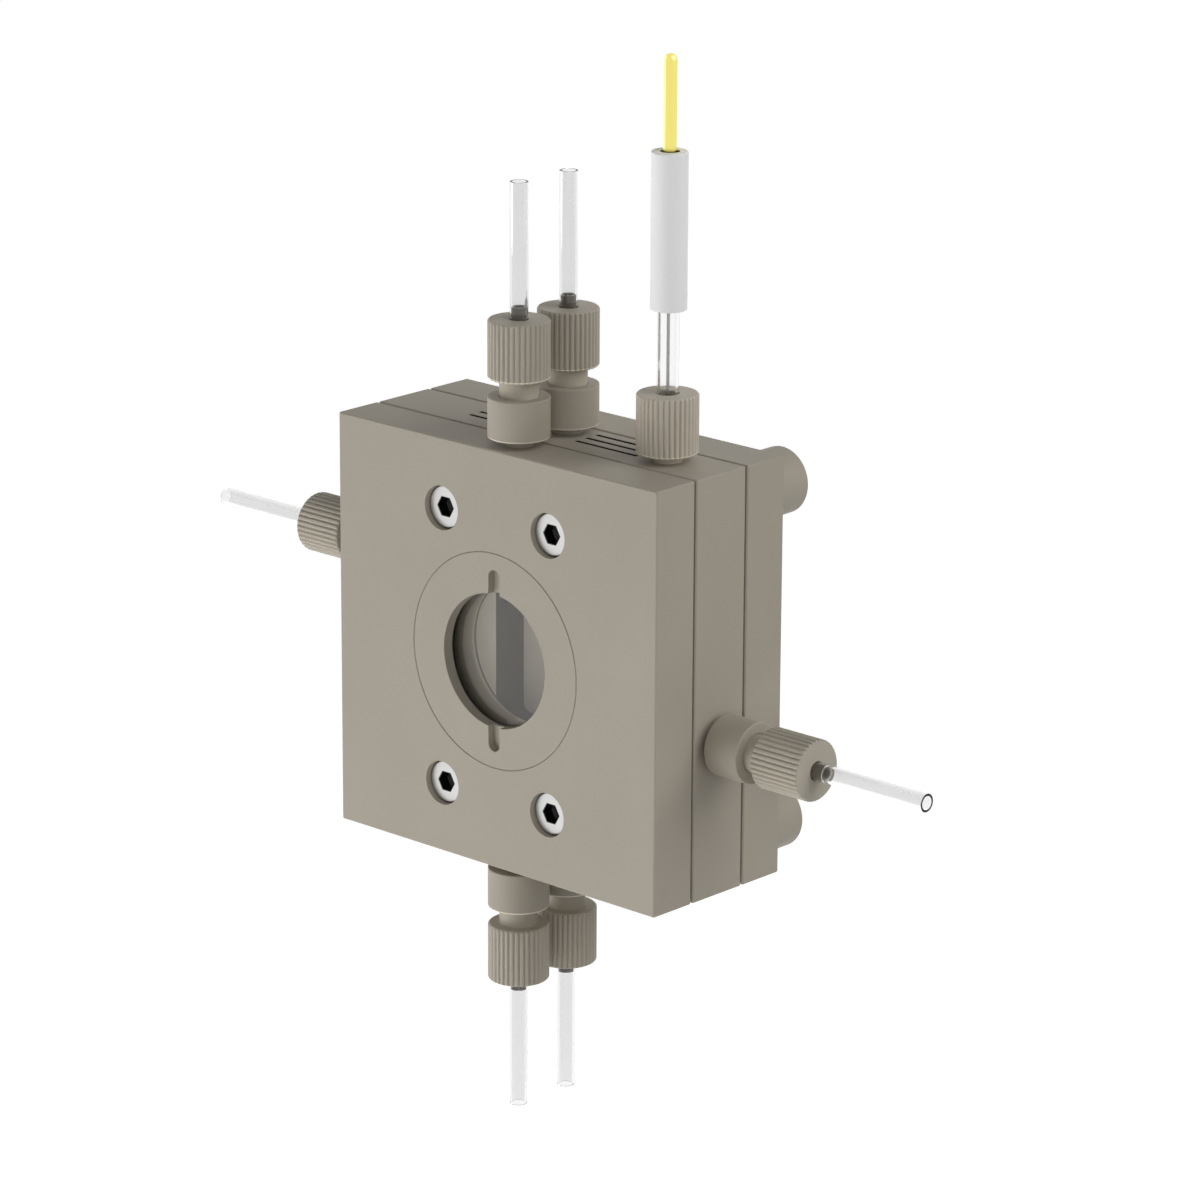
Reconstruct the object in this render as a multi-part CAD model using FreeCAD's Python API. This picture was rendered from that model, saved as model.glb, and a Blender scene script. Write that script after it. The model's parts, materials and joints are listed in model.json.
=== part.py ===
import FreeCAD
import Part
import math
import os
from collections import namedtuple

# Photoelectrochemical flow cell: three clamped plates with a round light window, six liquid
# fittings, a reference electrode and four feet on the back.
# Frame: +Z up, the front face looks along -Y, and the origin is the centre of the light opening
# on the front face. All sizes are in millimetres.

Vector = FreeCAD.Vector
Port = namedtuple("Port", "name point outward")
LENGTH_TOLERANCE = 1e-6

# Plate stack
BLOCK_WIDTH = 70.0
BLOCK_HEIGHT = 70.0
FRONT_PLATE_DEPTH = 8.8
MIDDLE_PLATE_DEPTH = 11.6
REAR_PLATE_DEPTH = 8.8
PLATE_GASKET_THICKNESS = 0.4
PLATE_GASKET_SETBACK = 0.9
EDGE_BREAK = 0.2

# Light window in the front plate
RING_RADIUS = 18.0
RING_THICKNESS = 1.9
RING_EDGE_BREAK = 0.12
RING_LEDGE = 4.0
SPANNER_SLOT_WIDTH = 2.5
SPANNER_SLOT_RIM = 2.75
SPANNER_SLOT_DEPTH = 1.2
SLIP_WASHER_THICKNESS = 0.3
SLIP_WASHER_SETBACK = 0.3
GLASS_THICKNESS = 2.0
GLASS_CLEARANCE = 0.1
GLASS_LAND = 2.0
WINDOW_GASKET_THICKNESS = 0.5
CHAMBER_MARGIN = 0.8

# Electrode stack in the middle plate
POCKET_WIDTH = 15.0
POCKET_HEIGHT = 27.0
POCKET_CORNER = 1.5
RECESS_SIDE_MARGIN = 5.0
RECESS_END_MARGIN = 4.0
RECESS_CORNER = 2.0
STACK_CLEARANCE = 0.1
ELECTRODE_GASKET_THICKNESS = 0.35
ELECTRODE_THICKNESS = 0.5
MEMBRANE_THICKNESS = 0.2
PRESSURE_PAD_THICKNESS = 2.1
SPACER_PASSAGE_RADIUS = 0.6
LUG_WIDTH = 3.6
LUG_CLEARANCE = 0.15
LUG_SINK = 4.0

# Contact slots in the top of the middle plate
SLOT_WIDTH = 0.8
SLOT_INNER_X = 5.1
SLOT_LENGTH = 13.35
SLOT_DEPTH = 8.0
SLOT_PITCH = 2.45

# Clamp screws, M4 cap screws with a 3 mm socket
SCREW_X = 11.7
SCREW_Z = 23.3
SCREW_RADIUS = 2.0
SCREW_ENGAGEMENT = 3.8
SCREW_HEAD_RADIUS = 3.5
SCREW_HEAD_HEIGHT = 4.0
SCREW_HEAD_SINK = 1.0
SCREW_SOCKET_FLATS = 3.0
SCREW_SOCKET_DEPTH = 2.0
SCREW_HOLE_CLEARANCE = 0.2
SCREW_TAPPED_CLEARANCE = 0.05
SCREW_TIP_ROOM = 2.0
COUNTERBORE_CLEARANCE = 0.2
SCREW_EDGE_BREAK = 0.2

# Feet on the back, each held by an M3 cap screw
FOOT_RADIUS = 5.5
FOOT_LENGTH = 7.5
FOOT_INSET = 6.7
FOOT_EDGE_BREAK = 0.4
FOOT_SCREW_RADIUS = 1.5
FOOT_SCREW_ENGAGEMENT = 4.0
FOOT_SCREW_HEAD_RADIUS = 2.75
FOOT_SCREW_HEAD_HEIGHT = 3.0
FOOT_SCREW_HEAD_SINK = 0.5
FOOT_SCREW_SOCKET_FLATS = 2.5
FOOT_SCREW_SOCKET_DEPTH = 1.5
FOOT_HEAD_CLEARANCE = 0.25

# Liquid ports
PORT_HOLE_ROOM = 0.2
PASSAGE_RADIUS = 0.75
FRONT_PORT_SETBACK = 3.0
SIDE_PORT_Z = 9.3
SIDE_PASSAGE_WALL = 0.6
THREAD_CLEARANCE = 0.05
PRESSED_CLEARANCE = 0.02

# Adapter: small male thread into the plate, large female socket for the nut
ADAPTER_THREAD_RADIUS = 2.5
ADAPTER_THREAD_LENGTH = 6.0
ADAPTER_NECK = 1.3
ADAPTER_LENGTH = 6.7
ADAPTER_RADIUS = 5.05
ADAPTER_EDGE_BREAK = 0.2

# Knurled nut of a liquid fitting
NUT_THREAD_RADIUS = 3.175
NUT_THREAD_ENGAGED = 3.2
NUT_STANDOFF = 2.95
NUT_HEAD_RADIUS = 5.05
NUT_HEAD_LENGTH = 9.6
NUT_EDGE_BREAK = 0.25
KNURL_COUNT = 36
KNURL_DEPTH = 0.27

# Tube, its ferrule and the stiffening insert inside it
TUBE_RADIUS = 1.5
TUBE_WALL = 0.4
TUBE_OUTREACH = 22.2
TUBE_CLEARANCE = 0.05
FERRULE_LENGTH = 2.2
FERRULE_RIM = 1.1
FERRULE_RELIEF = 0.425
FERRULE_NOSE_WALL = 0.4
INSERT_SEAT_STEP = 0.18
INSERT_WALL = 0.56
INSERT_STANDOUT = 2.0

# Reference electrode
REFERENCE_INSET = 11.5
REFERENCE_NUT_RADIUS = 5.0
REFERENCE_NUT_LENGTH = 9.7
REFERENCE_NECK = 1.3
REFERENCE_THREAD_RADIUS = 2.5
REFERENCE_THREAD_LENGTH = 5.0
GLASS_BODY_RADIUS = 1.775
GLASS_BODY_WALL = 0.45
GLASS_SHOULDER = 2.5
STEM_STEP = 0.475
STEM_WALL = 0.35
STEM_REACH = 15.0
STEM_CLEARANCE = 0.05
FRIT_LENGTH = 2.0
WIRE_RADIUS = 0.25
STEM_TIP_ROOM = 1.0
SEAL_THICKNESS = 1.2
SLEEVE_RADIUS = 2.95
SLEEVE_BOTTOM = 24.5
SLEEVE_LENGTH = 25.25
SLEEVE_SOCKET = 6.5
SLEEVE_MOUTH_GAP = 0.54
SLEEVE_MOUTH_DEPTH = 5.0
PIN_RADIUS = 1.06
PIN_TAIL_STEP = 0.21
PIN_FOOT_ROOM = 2.0
PIN_STANDOUT = 15.35
SLEEVE_CLEARANCE = 0.04

# Worked out from the sizes above
HALF_WIDTH = BLOCK_WIDTH / 2
HALF_HEIGHT = BLOCK_HEIGHT / 2
FRONT_SEAM_Y = FRONT_PLATE_DEPTH
MIDDLE_FRONT_Y = FRONT_SEAM_Y + PLATE_GASKET_THICKNESS
MIDDLE_BACK_Y = MIDDLE_FRONT_Y + MIDDLE_PLATE_DEPTH
REAR_FRONT_Y = MIDDLE_BACK_Y + PLATE_GASKET_THICKNESS
BLOCK_DEPTH = REAR_FRONT_Y + REAR_PLATE_DEPTH

GLASS_RADIUS = RING_RADIUS - RING_LEDGE
CHAMBER_RADIUS = GLASS_RADIUS - GLASS_LAND
RING_OPENING_RADIUS = CHAMBER_RADIUS - CHAMBER_MARGIN
SPANNER_SLOT_REACH = RING_RADIUS - SPANNER_SLOT_RIM
GLASS_FRONT_Y = RING_THICKNESS + SLIP_WASHER_THICKNESS
GLASS_BACK_Y = GLASS_FRONT_Y + GLASS_THICKNESS
WINDOW_SHOULDER_Y = GLASS_BACK_Y + WINDOW_GASKET_THICKNESS
GLASS_SEAT_RADIUS = GLASS_RADIUS + GLASS_CLEARANCE

RECESS_WIDTH = POCKET_WIDTH + 2 * RECESS_SIDE_MARGIN
RECESS_HEIGHT = POCKET_HEIGHT + 2 * RECESS_END_MARGIN
STACK_WIDTH = RECESS_WIDTH - 2 * STACK_CLEARANCE
STACK_HEIGHT = RECESS_HEIGHT - 2 * STACK_CLEARANCE
COUNTER_BACK_Y = MIDDLE_BACK_Y - PRESSURE_PAD_THICKNESS
COUNTER_FRONT_Y = COUNTER_BACK_Y - ELECTRODE_THICKNESS
REAR_SLOT_Y = COUNTER_FRONT_Y + ELECTRODE_THICKNESS / 2
MIDDLE_SLOT_Y = REAR_SLOT_Y - SLOT_PITCH
SLOT_YS = (MIDDLE_SLOT_Y - SLOT_PITCH, MIDDLE_SLOT_Y, REAR_SLOT_Y)
SLOT_OUTER_X = SLOT_INNER_X + SLOT_LENGTH
WORKING_FRONT_Y = MIDDLE_SLOT_Y - ELECTRODE_THICKNESS / 2
WORKING_BACK_Y = WORKING_FRONT_Y + ELECTRODE_THICKNESS
RECESS_FLOOR_Y = WORKING_FRONT_Y - ELECTRODE_GASKET_THICKNESS
MEMBRANE_BACK_Y = WORKING_BACK_Y + MEMBRANE_THICKNESS
LUG_INNER_X = SLOT_INNER_X + LUG_CLEARANCE
LUG_TOP_Z = HALF_HEIGHT - LUG_SINK

SCREW_HEAD_BOTTOM_Y = SCREW_HEAD_SINK + SCREW_HEAD_HEIGHT
SCREW_TIP_Y = REAR_FRONT_Y + SCREW_ENGAGEMENT
SCREW_LENGTH = SCREW_TIP_Y - SCREW_HEAD_BOTTOM_Y
COUNTERBORE_RADIUS = SCREW_HEAD_RADIUS + COUNTERBORE_CLEARANCE
SCREW_PLACES = [(sx * SCREW_X, sz * SCREW_Z) for sx in (-1, 1) for sz in (-1, 1)]
FOOT_X = HALF_WIDTH - FOOT_INSET
FOOT_Z = HALF_HEIGHT - FOOT_INSET
FOOT_BACK_Y = BLOCK_DEPTH + FOOT_LENGTH
FOOT_PLACES = {
    "upper_left": (-FOOT_X, FOOT_Z),
    "upper_right": (FOOT_X, FOOT_Z),
    "lower_left": (-FOOT_X, -FOOT_Z),
    "lower_right": (FOOT_X, -FOOT_Z),
}
FOOT_HEAD_TOP_Y = FOOT_BACK_Y - FOOT_SCREW_HEAD_SINK
FOOT_HEAD_SEAT_Y = FOOT_HEAD_TOP_Y - FOOT_SCREW_HEAD_HEIGHT
FOOT_SCREW_TIP_Y = BLOCK_DEPTH - FOOT_SCREW_ENGAGEMENT
FOOT_SCREW_LENGTH = FOOT_HEAD_SEAT_Y - FOOT_SCREW_TIP_Y

FRONT_PORT_Y = FRONT_PLATE_DEPTH - FRONT_PORT_SETBACK
REAR_PORT_Y = MIDDLE_SLOT_Y + SLOT_PITCH / 2
SIDE_PORT_Y = MIDDLE_FRONT_Y + MIDDLE_PLATE_DEPTH / 2
SIDE_PASSAGE_Y = RECESS_FLOOR_Y - SIDE_PASSAGE_WALL - PASSAGE_RADIUS
PORT_HOLE_RADIUS = ADAPTER_THREAD_RADIUS + THREAD_CLEARANCE
PORT_HOLE_DEPTH = ADAPTER_THREAD_LENGTH + PORT_HOLE_ROOM
ADAPTER_TOP = ADAPTER_NECK + ADAPTER_LENGTH
NUT_THREAD_END = ADAPTER_TOP - NUT_THREAD_ENGAGED
SOCKET_FLOOR = NUT_THREAD_END - FERRULE_LENGTH
NUT_HEAD_BOTTOM = ADAPTER_TOP + NUT_STANDOFF
NUT_HEAD_TOP = NUT_HEAD_BOTTOM + NUT_HEAD_LENGTH
TUBE_END = NUT_HEAD_TOP + TUBE_OUTREACH
TUBE_BORE_RADIUS = TUBE_RADIUS - TUBE_WALL
INSERT_SEAT_RADIUS = TUBE_BORE_RADIUS + INSERT_SEAT_STEP
INSERT_RADIUS = INSERT_SEAT_RADIUS - PRESSED_CLEARANCE
INSERT_END = NUT_HEAD_TOP + INSERT_STANDOUT
FERRULE_RADIUS = NUT_THREAD_RADIUS - FERRULE_RELIEF
FERRULE_BORE_RADIUS = TUBE_RADIUS + PRESSED_CLEARANCE

REFERENCE_X = HALF_WIDTH - REFERENCE_INSET
REFERENCE_NUT_TOP = REFERENCE_NECK + REFERENCE_NUT_LENGTH
REFERENCE_HOLE_RADIUS = REFERENCE_THREAD_RADIUS + THREAD_CLEARANCE
SEAL_FOOT = -REFERENCE_THREAD_LENGTH - SEAL_THICKNESS
STEM_RADIUS = GLASS_BODY_RADIUS - STEM_STEP
STEM_HOLE_RADIUS = STEM_RADIUS + STEM_CLEARANCE
SLEEVE_TOP = SLEEVE_BOTTOM + SLEEVE_LENGTH
GLASS_BODY_TOP = SLEEVE_BOTTOM + SLEEVE_SOCKET
SLEEVE_MOUTH_RADIUS = PIN_RADIUS + SLEEVE_MOUTH_GAP
PIN_TAIL_RADIUS = PIN_RADIUS - PIN_TAIL_STEP
PIN_FOOT = GLASS_BODY_TOP + PIN_FOOT_ROOM
PIN_TOP = SLEEVE_TOP + PIN_STANDOUT

UP = Vector(0, 0, 1)
DOWN = Vector(0, 0, -1)
LEFT = Vector(-1, 0, 0)
RIGHT = Vector(1, 0, 0)
BACK = Vector(0, 1, 0)

FRONT_PORTS = [
    Port("top_front", Vector(0, FRONT_PORT_Y, HALF_HEIGHT), UP),
    Port("bottom_front", Vector(0, FRONT_PORT_Y, -HALF_HEIGHT), DOWN),
]
REAR_PORTS = [
    Port("top_rear", Vector(0, REAR_PORT_Y, HALF_HEIGHT), UP),
    Port("bottom_rear", Vector(0, REAR_PORT_Y, -HALF_HEIGHT), DOWN),
]
SIDE_PORTS = [
    Port("left", Vector(-HALF_WIDTH, SIDE_PORT_Y, SIDE_PORT_Z), LEFT),
    Port("right", Vector(HALF_WIDTH, SIDE_PORT_Y, -SIDE_PORT_Z), RIGHT),
]
PORTS = FRONT_PORTS + REAR_PORTS + SIDE_PORTS
REFERENCE_PORT = Port("reference", Vector(REFERENCE_X, SIDE_PORT_Y, HALF_HEIGHT), UP)


def rod(radius, start, direction, length):
    """Solid cylinder from a start point along a direction."""
    return Part.makeCylinder(radius, length, start, direction)


def disc(radius, front, back, x=0.0, z=0.0):
    """Cylinder along Y between two depths."""
    return rod(radius, Vector(x, front, z), BACK, back - front)


def turned(profile):
    """Solid turned about Z from (radius, height) points."""
    points = [Vector(radius, 0, height) for radius, height in profile]
    face = Part.Face(Part.makePolygon(points + points[:1]))
    return face.revolve(Vector(0, 0, 0), UP, 360)


def slab(width, height, front, back):
    """Rectangular block centred on the window axis between two depths."""
    corner = Vector(-width / 2, front, -height / 2)
    return Part.makeBox(width, back - front, height, corner)


def rounded_slab(width, height, corner, front, back):
    """Slab whose four edges along Y have a corner radius."""
    block = slab(width, height, front, back)
    return block.makeFillet(corner, [edge for edge in block.Edges if along_y(edge)])


def along_y(edge):
    """True where a straight edge runs along Y."""
    start, end = edge.Vertexes[0].Point, edge.Vertexes[-1].Point
    return abs(start.x - end.x) < LENGTH_TOLERANCE and abs(start.z - end.z) < LENGTH_TOLERANCE


def hexagon(flats, front, back, x, z):
    """Hexagonal prism along Y with its corners towards -X and +X."""
    reach = flats / math.sqrt(3)
    angles = [math.radians(60 * step) for step in range(6)]
    points = [Vector(x + reach * math.cos(a), front, z + reach * math.sin(a)) for a in angles]
    face = Part.Face(Part.makePolygon(points + points[:1]))
    return face.extrude(Vector(0, back - front, 0))


def place(shape, port):
    """Copy of a fitting made along +Z at the origin, moved to its port."""
    moved = shape.copy()
    moved.Placement = FreeCAD.Placement(port.point, FreeCAD.Rotation(UP, port.outward))
    return moved


def plate(front, back):
    """One clamped plate with its edges broken."""
    block = slab(BLOCK_WIDTH, BLOCK_HEIGHT, front, back)
    return block.makeChamfer(EDGE_BREAK, block.Edges)


def port_hole(port, radius, depth):
    """Threaded hole of a port."""
    return rod(radius, port.point, port.outward * -1, depth)


def passage(port, reach, y):
    """Narrow drilling from a port's face inwards at a given depth in the block."""
    start = Vector(port.point.x, y, port.point.z)
    return rod(PASSAGE_RADIUS, start, port.outward * -1, reach)


def screw_holes(radius, front, back):
    """Four round holes on the clamp screws' axes."""
    return [disc(radius, front, back, x, z) for x, z in SCREW_PLACES]


def front_plate():
    """Front plate: ring thread, glass seat, round chamber, counterbores and two ports."""
    bore_radius = RING_RADIUS + THREAD_CLEARANCE
    body = plate(0, FRONT_PLATE_DEPTH)
    cuts = [disc(bore_radius, 0, GLASS_FRONT_Y)]
    rim = [(0, 0), (bore_radius + RING_EDGE_BREAK, 0), (bore_radius, RING_EDGE_BREAK)]
    cuts.append(facing_front(turned(rim + [(0, RING_EDGE_BREAK)])))
    cuts.append(disc(GLASS_SEAT_RADIUS, 0, WINDOW_SHOULDER_Y))
    cuts.append(disc(CHAMBER_RADIUS, 0, FRONT_PLATE_DEPTH))
    cuts += screw_holes(COUNTERBORE_RADIUS, 0, SCREW_HEAD_BOTTOM_Y)
    cuts += screw_holes(SCREW_RADIUS + SCREW_HOLE_CLEARANCE, 0, FRONT_PLATE_DEPTH)
    for port in FRONT_PORTS:
        cuts.append(port_hole(port, PORT_HOLE_RADIUS, PORT_HOLE_DEPTH))
        cuts.append(passage(port, HALF_HEIGHT - CHAMBER_RADIUS / 2, FRONT_PORT_Y))
    return body.cut(cuts)


def facing_front(shape):
    """Turn a solid made upwards from Z = 0 so that it runs back from the front face."""
    moved = shape.copy()
    moved.rotate(Vector(0, 0, 0), Vector(1, 0, 0), -90)
    return moved


def window_ring():
    """Threaded ring that holds the glass, with two spanner slots."""
    edge = RING_EDGE_BREAK
    profile = [
        (RING_OPENING_RADIUS, 0),
        (RING_RADIUS - edge, 0),
        (RING_RADIUS, edge),
        (RING_RADIUS, RING_THICKNESS),
        (RING_OPENING_RADIUS, RING_THICKNESS),
    ]
    ring = facing_front(turned(profile))
    half = SPANNER_SLOT_WIDTH / 2
    straight = SPANNER_SLOT_REACH - half
    for side in (-1, 1):
        end = disc(half, 0, SPANNER_SLOT_DEPTH, 0, side * straight)
        corner = Vector(-half, 0, min(0, side * straight))
        arm = Part.makeBox(SPANNER_SLOT_WIDTH, SPANNER_SLOT_DEPTH, straight, corner)
        ring = ring.cut([end, arm])
    return ring


def window_slip_washer():
    """Thin washer on which the ring turns."""
    opening_radius = RING_OPENING_RADIUS + SLIP_WASHER_SETBACK
    outer = disc(GLASS_RADIUS, RING_THICKNESS, GLASS_FRONT_Y)
    return outer.cut(disc(opening_radius, RING_THICKNESS, GLASS_FRONT_Y))


def window_glass():
    """Round quartz window."""
    return disc(GLASS_RADIUS, GLASS_FRONT_Y, GLASS_BACK_Y)


def window_gasket():
    """Flat seal between the glass and its shoulder."""
    outer = disc(GLASS_RADIUS, GLASS_BACK_Y, WINDOW_SHOULDER_Y)
    return outer.cut(disc(CHAMBER_RADIUS, GLASS_BACK_Y, WINDOW_SHOULDER_Y))


def plate_gasket(front, back, opening):
    """Sheet seal between two plates, set back from their edges."""
    width = BLOCK_WIDTH - 2 * PLATE_GASKET_SETBACK
    height = BLOCK_HEIGHT - 2 * PLATE_GASKET_SETBACK
    sheet = slab(width, height, front, back)
    holes = screw_holes(SCREW_RADIUS + SCREW_HOLE_CLEARANCE, front, back)
    return sheet.cut(holes + opening)


def front_gasket():
    """Seal between the front and the middle plate."""
    chamber = disc(CHAMBER_RADIUS, FRONT_SEAM_Y, MIDDLE_FRONT_Y)
    return plate_gasket(FRONT_SEAM_Y, MIDDLE_FRONT_Y, [chamber, flow_pocket(FRONT_SEAM_Y)])


def rear_gasket():
    """Seal between the middle and the rear plate."""
    return plate_gasket(MIDDLE_BACK_Y, REAR_FRONT_Y, [])


def flow_pocket(front):
    """Room of the flow pocket from a given depth to the back of the middle plate."""
    return rounded_slab(POCKET_WIDTH, POCKET_HEIGHT, POCKET_CORNER, front, MIDDLE_BACK_Y)


def contact_slots():
    """Three narrow slots on each side of the rear top port."""
    slots = []
    for y in SLOT_YS:
        for inner in (-SLOT_OUTER_X, SLOT_INNER_X):
            corner = Vector(inner, y - SLOT_WIDTH / 2, HALF_HEIGHT - SLOT_DEPTH)
            slots.append(Part.makeBox(SLOT_OUTER_X - SLOT_INNER_X, SLOT_WIDTH, SLOT_DEPTH, corner))
    return slots


def lug_channels():
    """Deep ends of the slots through which the electrode lugs come up from the recess."""
    width = LUG_WIDTH + 2 * LUG_CLEARANCE
    channels = []
    for y in (MIDDLE_SLOT_Y, REAR_SLOT_Y):
        for inner in (-SLOT_INNER_X - width, SLOT_INNER_X):
            corner = Vector(inner, y - SLOT_WIDTH / 2, 0)
            channels.append(Part.makeBox(width, SLOT_WIDTH, HALF_HEIGHT, corner))
    return channels


def middle_plate():
    """Middle plate: flow pocket, electrode recess, slots, four ports and the reference port."""
    body = plate(MIDDLE_FRONT_Y, MIDDLE_BACK_Y)
    recess = rounded_slab(RECESS_WIDTH, RECESS_HEIGHT, RECESS_CORNER, RECESS_FLOOR_Y, MIDDLE_BACK_Y)
    cuts = [recess, flow_pocket(MIDDLE_FRONT_Y)]
    cuts += screw_holes(SCREW_RADIUS + SCREW_HOLE_CLEARANCE, MIDDLE_FRONT_Y, MIDDLE_BACK_Y)
    cuts += contact_slots()
    cuts += lug_channels()
    for port in REAR_PORTS:
        cuts.append(port_hole(port, PORT_HOLE_RADIUS, PORT_HOLE_DEPTH))
        cuts.append(passage(port, HALF_HEIGHT, REAR_PORT_Y))
    for port in SIDE_PORTS:
        cuts.append(port_hole(port, PORT_HOLE_RADIUS, PORT_HOLE_DEPTH))
        cuts.append(passage(port, HALF_WIDTH, SIDE_PASSAGE_Y))
    cuts.append(port_hole(REFERENCE_PORT, REFERENCE_HOLE_RADIUS, -SEAL_FOOT))
    cuts.append(passage(REFERENCE_PORT, HALF_HEIGHT + SIDE_PORT_Z, SIDE_PORT_Y))
    stem_room = STEM_REACH + STEM_TIP_ROOM
    cuts.append(rod(STEM_HOLE_RADIUS, REFERENCE_PORT.point, DOWN, stem_room))
    return body.cut(cuts)


def stack_sheet(front, back):
    """Full sheet that fits the recess."""
    corner = RECESS_CORNER - STACK_CLEARANCE
    return rounded_slab(STACK_WIDTH, STACK_HEIGHT, corner, front, back)


def stack_frame(front, back):
    """Sheet with the flow pocket's opening."""
    return stack_sheet(front, back).cut(flow_pocket(front))


def electrode(front):
    """Flat electrode with two lugs that reach up into the contact slots."""
    body = stack_sheet(front, front + ELECTRODE_THICKNESS)
    for inner in (-LUG_INNER_X - LUG_WIDTH, LUG_INNER_X):
        corner = Vector(inner, front, 0)
        body = body.fuse(Part.makeBox(LUG_WIDTH, ELECTRODE_THICKNESS, LUG_TOP_Z, corner))
    return body.removeSplitter()


def electrode_gasket():
    """Seal between the recess floor and the working electrode."""
    return stack_frame(RECESS_FLOOR_Y, WORKING_FRONT_Y)


def working_electrode():
    """Electrode that the light falls on."""
    return electrode(WORKING_FRONT_Y)


def membrane():
    """Ion exchange membrane behind the working electrode."""
    return stack_sheet(WORKING_BACK_Y, MEMBRANE_BACK_Y)


def spacer_frame():
    """Frame of the rear chamber with an inlet and an outlet."""
    frame = stack_frame(MEMBRANE_BACK_Y, COUNTER_FRONT_Y)
    start = Vector(0, REAR_PORT_Y, -HALF_HEIGHT)
    return frame.cut(rod(SPACER_PASSAGE_RADIUS, start, UP, BLOCK_HEIGHT))


def counter_electrode():
    """Electrode at the back of the rear chamber."""
    return electrode(COUNTER_FRONT_Y)


def pressure_pad():
    """Elastic pad through which the rear plate presses the stack together."""
    return stack_sheet(COUNTER_BACK_Y, MIDDLE_BACK_Y)


def rear_plate():
    """Rear plate with tapped holes for the clamp screws and the feet."""
    body = plate(REAR_FRONT_Y, BLOCK_DEPTH)
    clamp_radius = SCREW_RADIUS + SCREW_TAPPED_CLEARANCE
    foot_radius = FOOT_SCREW_RADIUS + SCREW_TAPPED_CLEARANCE
    cuts = screw_holes(clamp_radius, REAR_FRONT_Y, SCREW_TIP_Y + SCREW_TIP_ROOM)
    for x, z in FOOT_PLACES.values():
        cuts.append(disc(foot_radius, FOOT_SCREW_TIP_Y - SCREW_TIP_ROOM / 2, BLOCK_DEPTH, x, z))
    return body.cut(cuts)


def cap_screw(radius, length, head_radius, head_height, flats, socket_depth):
    """Cap screw along +Z: the head's face at 0, the shank's tip at the far end."""
    edge = SCREW_EDGE_BREAK
    tip = head_height + length
    profile = [
        (0, 0),
        (head_radius - edge, 0),
        (head_radius, edge),
        (head_radius, head_height),
        (radius, head_height),
        (radius, tip - edge),
        (radius - edge, tip),
        (0, tip),
    ]
    screw = facing_front(turned(profile))
    return screw.cut(hexagon(flats, 0, socket_depth, 0, 0))


def clamp_screws():
    """Four screws that clamp the plates."""
    screw = cap_screw(SCREW_RADIUS, SCREW_LENGTH, SCREW_HEAD_RADIUS, SCREW_HEAD_HEIGHT,
                      SCREW_SOCKET_FLATS, SCREW_SOCKET_DEPTH)
    return Part.Compound([screw.translated(Vector(x, SCREW_HEAD_SINK, z)) for x, z in SCREW_PLACES])


def foot_screws():
    """Four screws that hold the feet, driven from the back."""
    screw = cap_screw(FOOT_SCREW_RADIUS, FOOT_SCREW_LENGTH, FOOT_SCREW_HEAD_RADIUS,
                      FOOT_SCREW_HEAD_HEIGHT, FOOT_SCREW_SOCKET_FLATS, FOOT_SCREW_SOCKET_DEPTH)
    screw.rotate(Vector(0, 0, 0), UP, 180)
    places = [Vector(x, FOOT_HEAD_TOP_Y, z) for x, z in FOOT_PLACES.values()]
    return Part.Compound([screw.translated(point) for point in places])


def rear_foot(x, z):
    """Round foot with a counterbored screw hole."""
    edge = FOOT_EDGE_BREAK
    profile = [
        (0, 0),
        (FOOT_RADIUS, 0),
        (FOOT_RADIUS, FOOT_LENGTH - edge),
        (FOOT_RADIUS - edge, FOOT_LENGTH),
        (0, FOOT_LENGTH),
    ]
    foot = facing_front(turned(profile)).translated(Vector(x, BLOCK_DEPTH, z))
    head_room = FOOT_SCREW_HEAD_RADIUS + FOOT_HEAD_CLEARANCE
    foot = foot.cut(disc(head_room, FOOT_HEAD_SEAT_Y, FOOT_BACK_Y, x, z))
    shank_room = FOOT_SCREW_RADIUS + SCREW_HOLE_CLEARANCE
    return foot.cut(disc(shank_room, BLOCK_DEPTH, FOOT_HEAD_SEAT_Y, x, z))


def adapter():
    """Smooth adapter: small thread and neck, collar, and the socket for ferrule and nut."""
    edge = ADAPTER_EDGE_BREAK
    socket_radius = NUT_THREAD_RADIUS + THREAD_CLEARANCE
    profile = [
        (PASSAGE_RADIUS, -ADAPTER_THREAD_LENGTH),
        (ADAPTER_THREAD_RADIUS - edge, -ADAPTER_THREAD_LENGTH),
        (ADAPTER_THREAD_RADIUS, edge - ADAPTER_THREAD_LENGTH),
        (ADAPTER_THREAD_RADIUS, ADAPTER_NECK),
        (ADAPTER_RADIUS - edge, ADAPTER_NECK),
        (ADAPTER_RADIUS, ADAPTER_NECK + edge),
        (ADAPTER_RADIUS, ADAPTER_TOP - edge),
        (ADAPTER_RADIUS - edge, ADAPTER_TOP),
        (socket_radius, ADAPTER_TOP),
        (socket_radius, SOCKET_FLOOR),
        (PASSAGE_RADIUS, SOCKET_FLOOR),
    ]
    return turned(profile)


def knurled_head(radius, bottom, top):
    """Head with straight V ribs and broken edges."""
    points = []
    for rib in range(KNURL_COUNT):
        for half_step, reach in ((0, radius), (1, radius - KNURL_DEPTH)):
            angle = math.pi * (2 * rib + half_step) / KNURL_COUNT
            points.append(Vector(reach * math.cos(angle), reach * math.sin(angle), bottom))
    face = Part.Face(Part.makePolygon(points + points[:1]))
    ribs = face.extrude(Vector(0, 0, top - bottom))
    edge = NUT_EDGE_BREAK
    blank = [
        (0, bottom),
        (radius - edge, bottom),
        (radius, bottom + edge),
        (radius, top - edge),
        (radius - edge, top),
        (0, top),
    ]
    return ribs.common(turned(blank))


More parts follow.
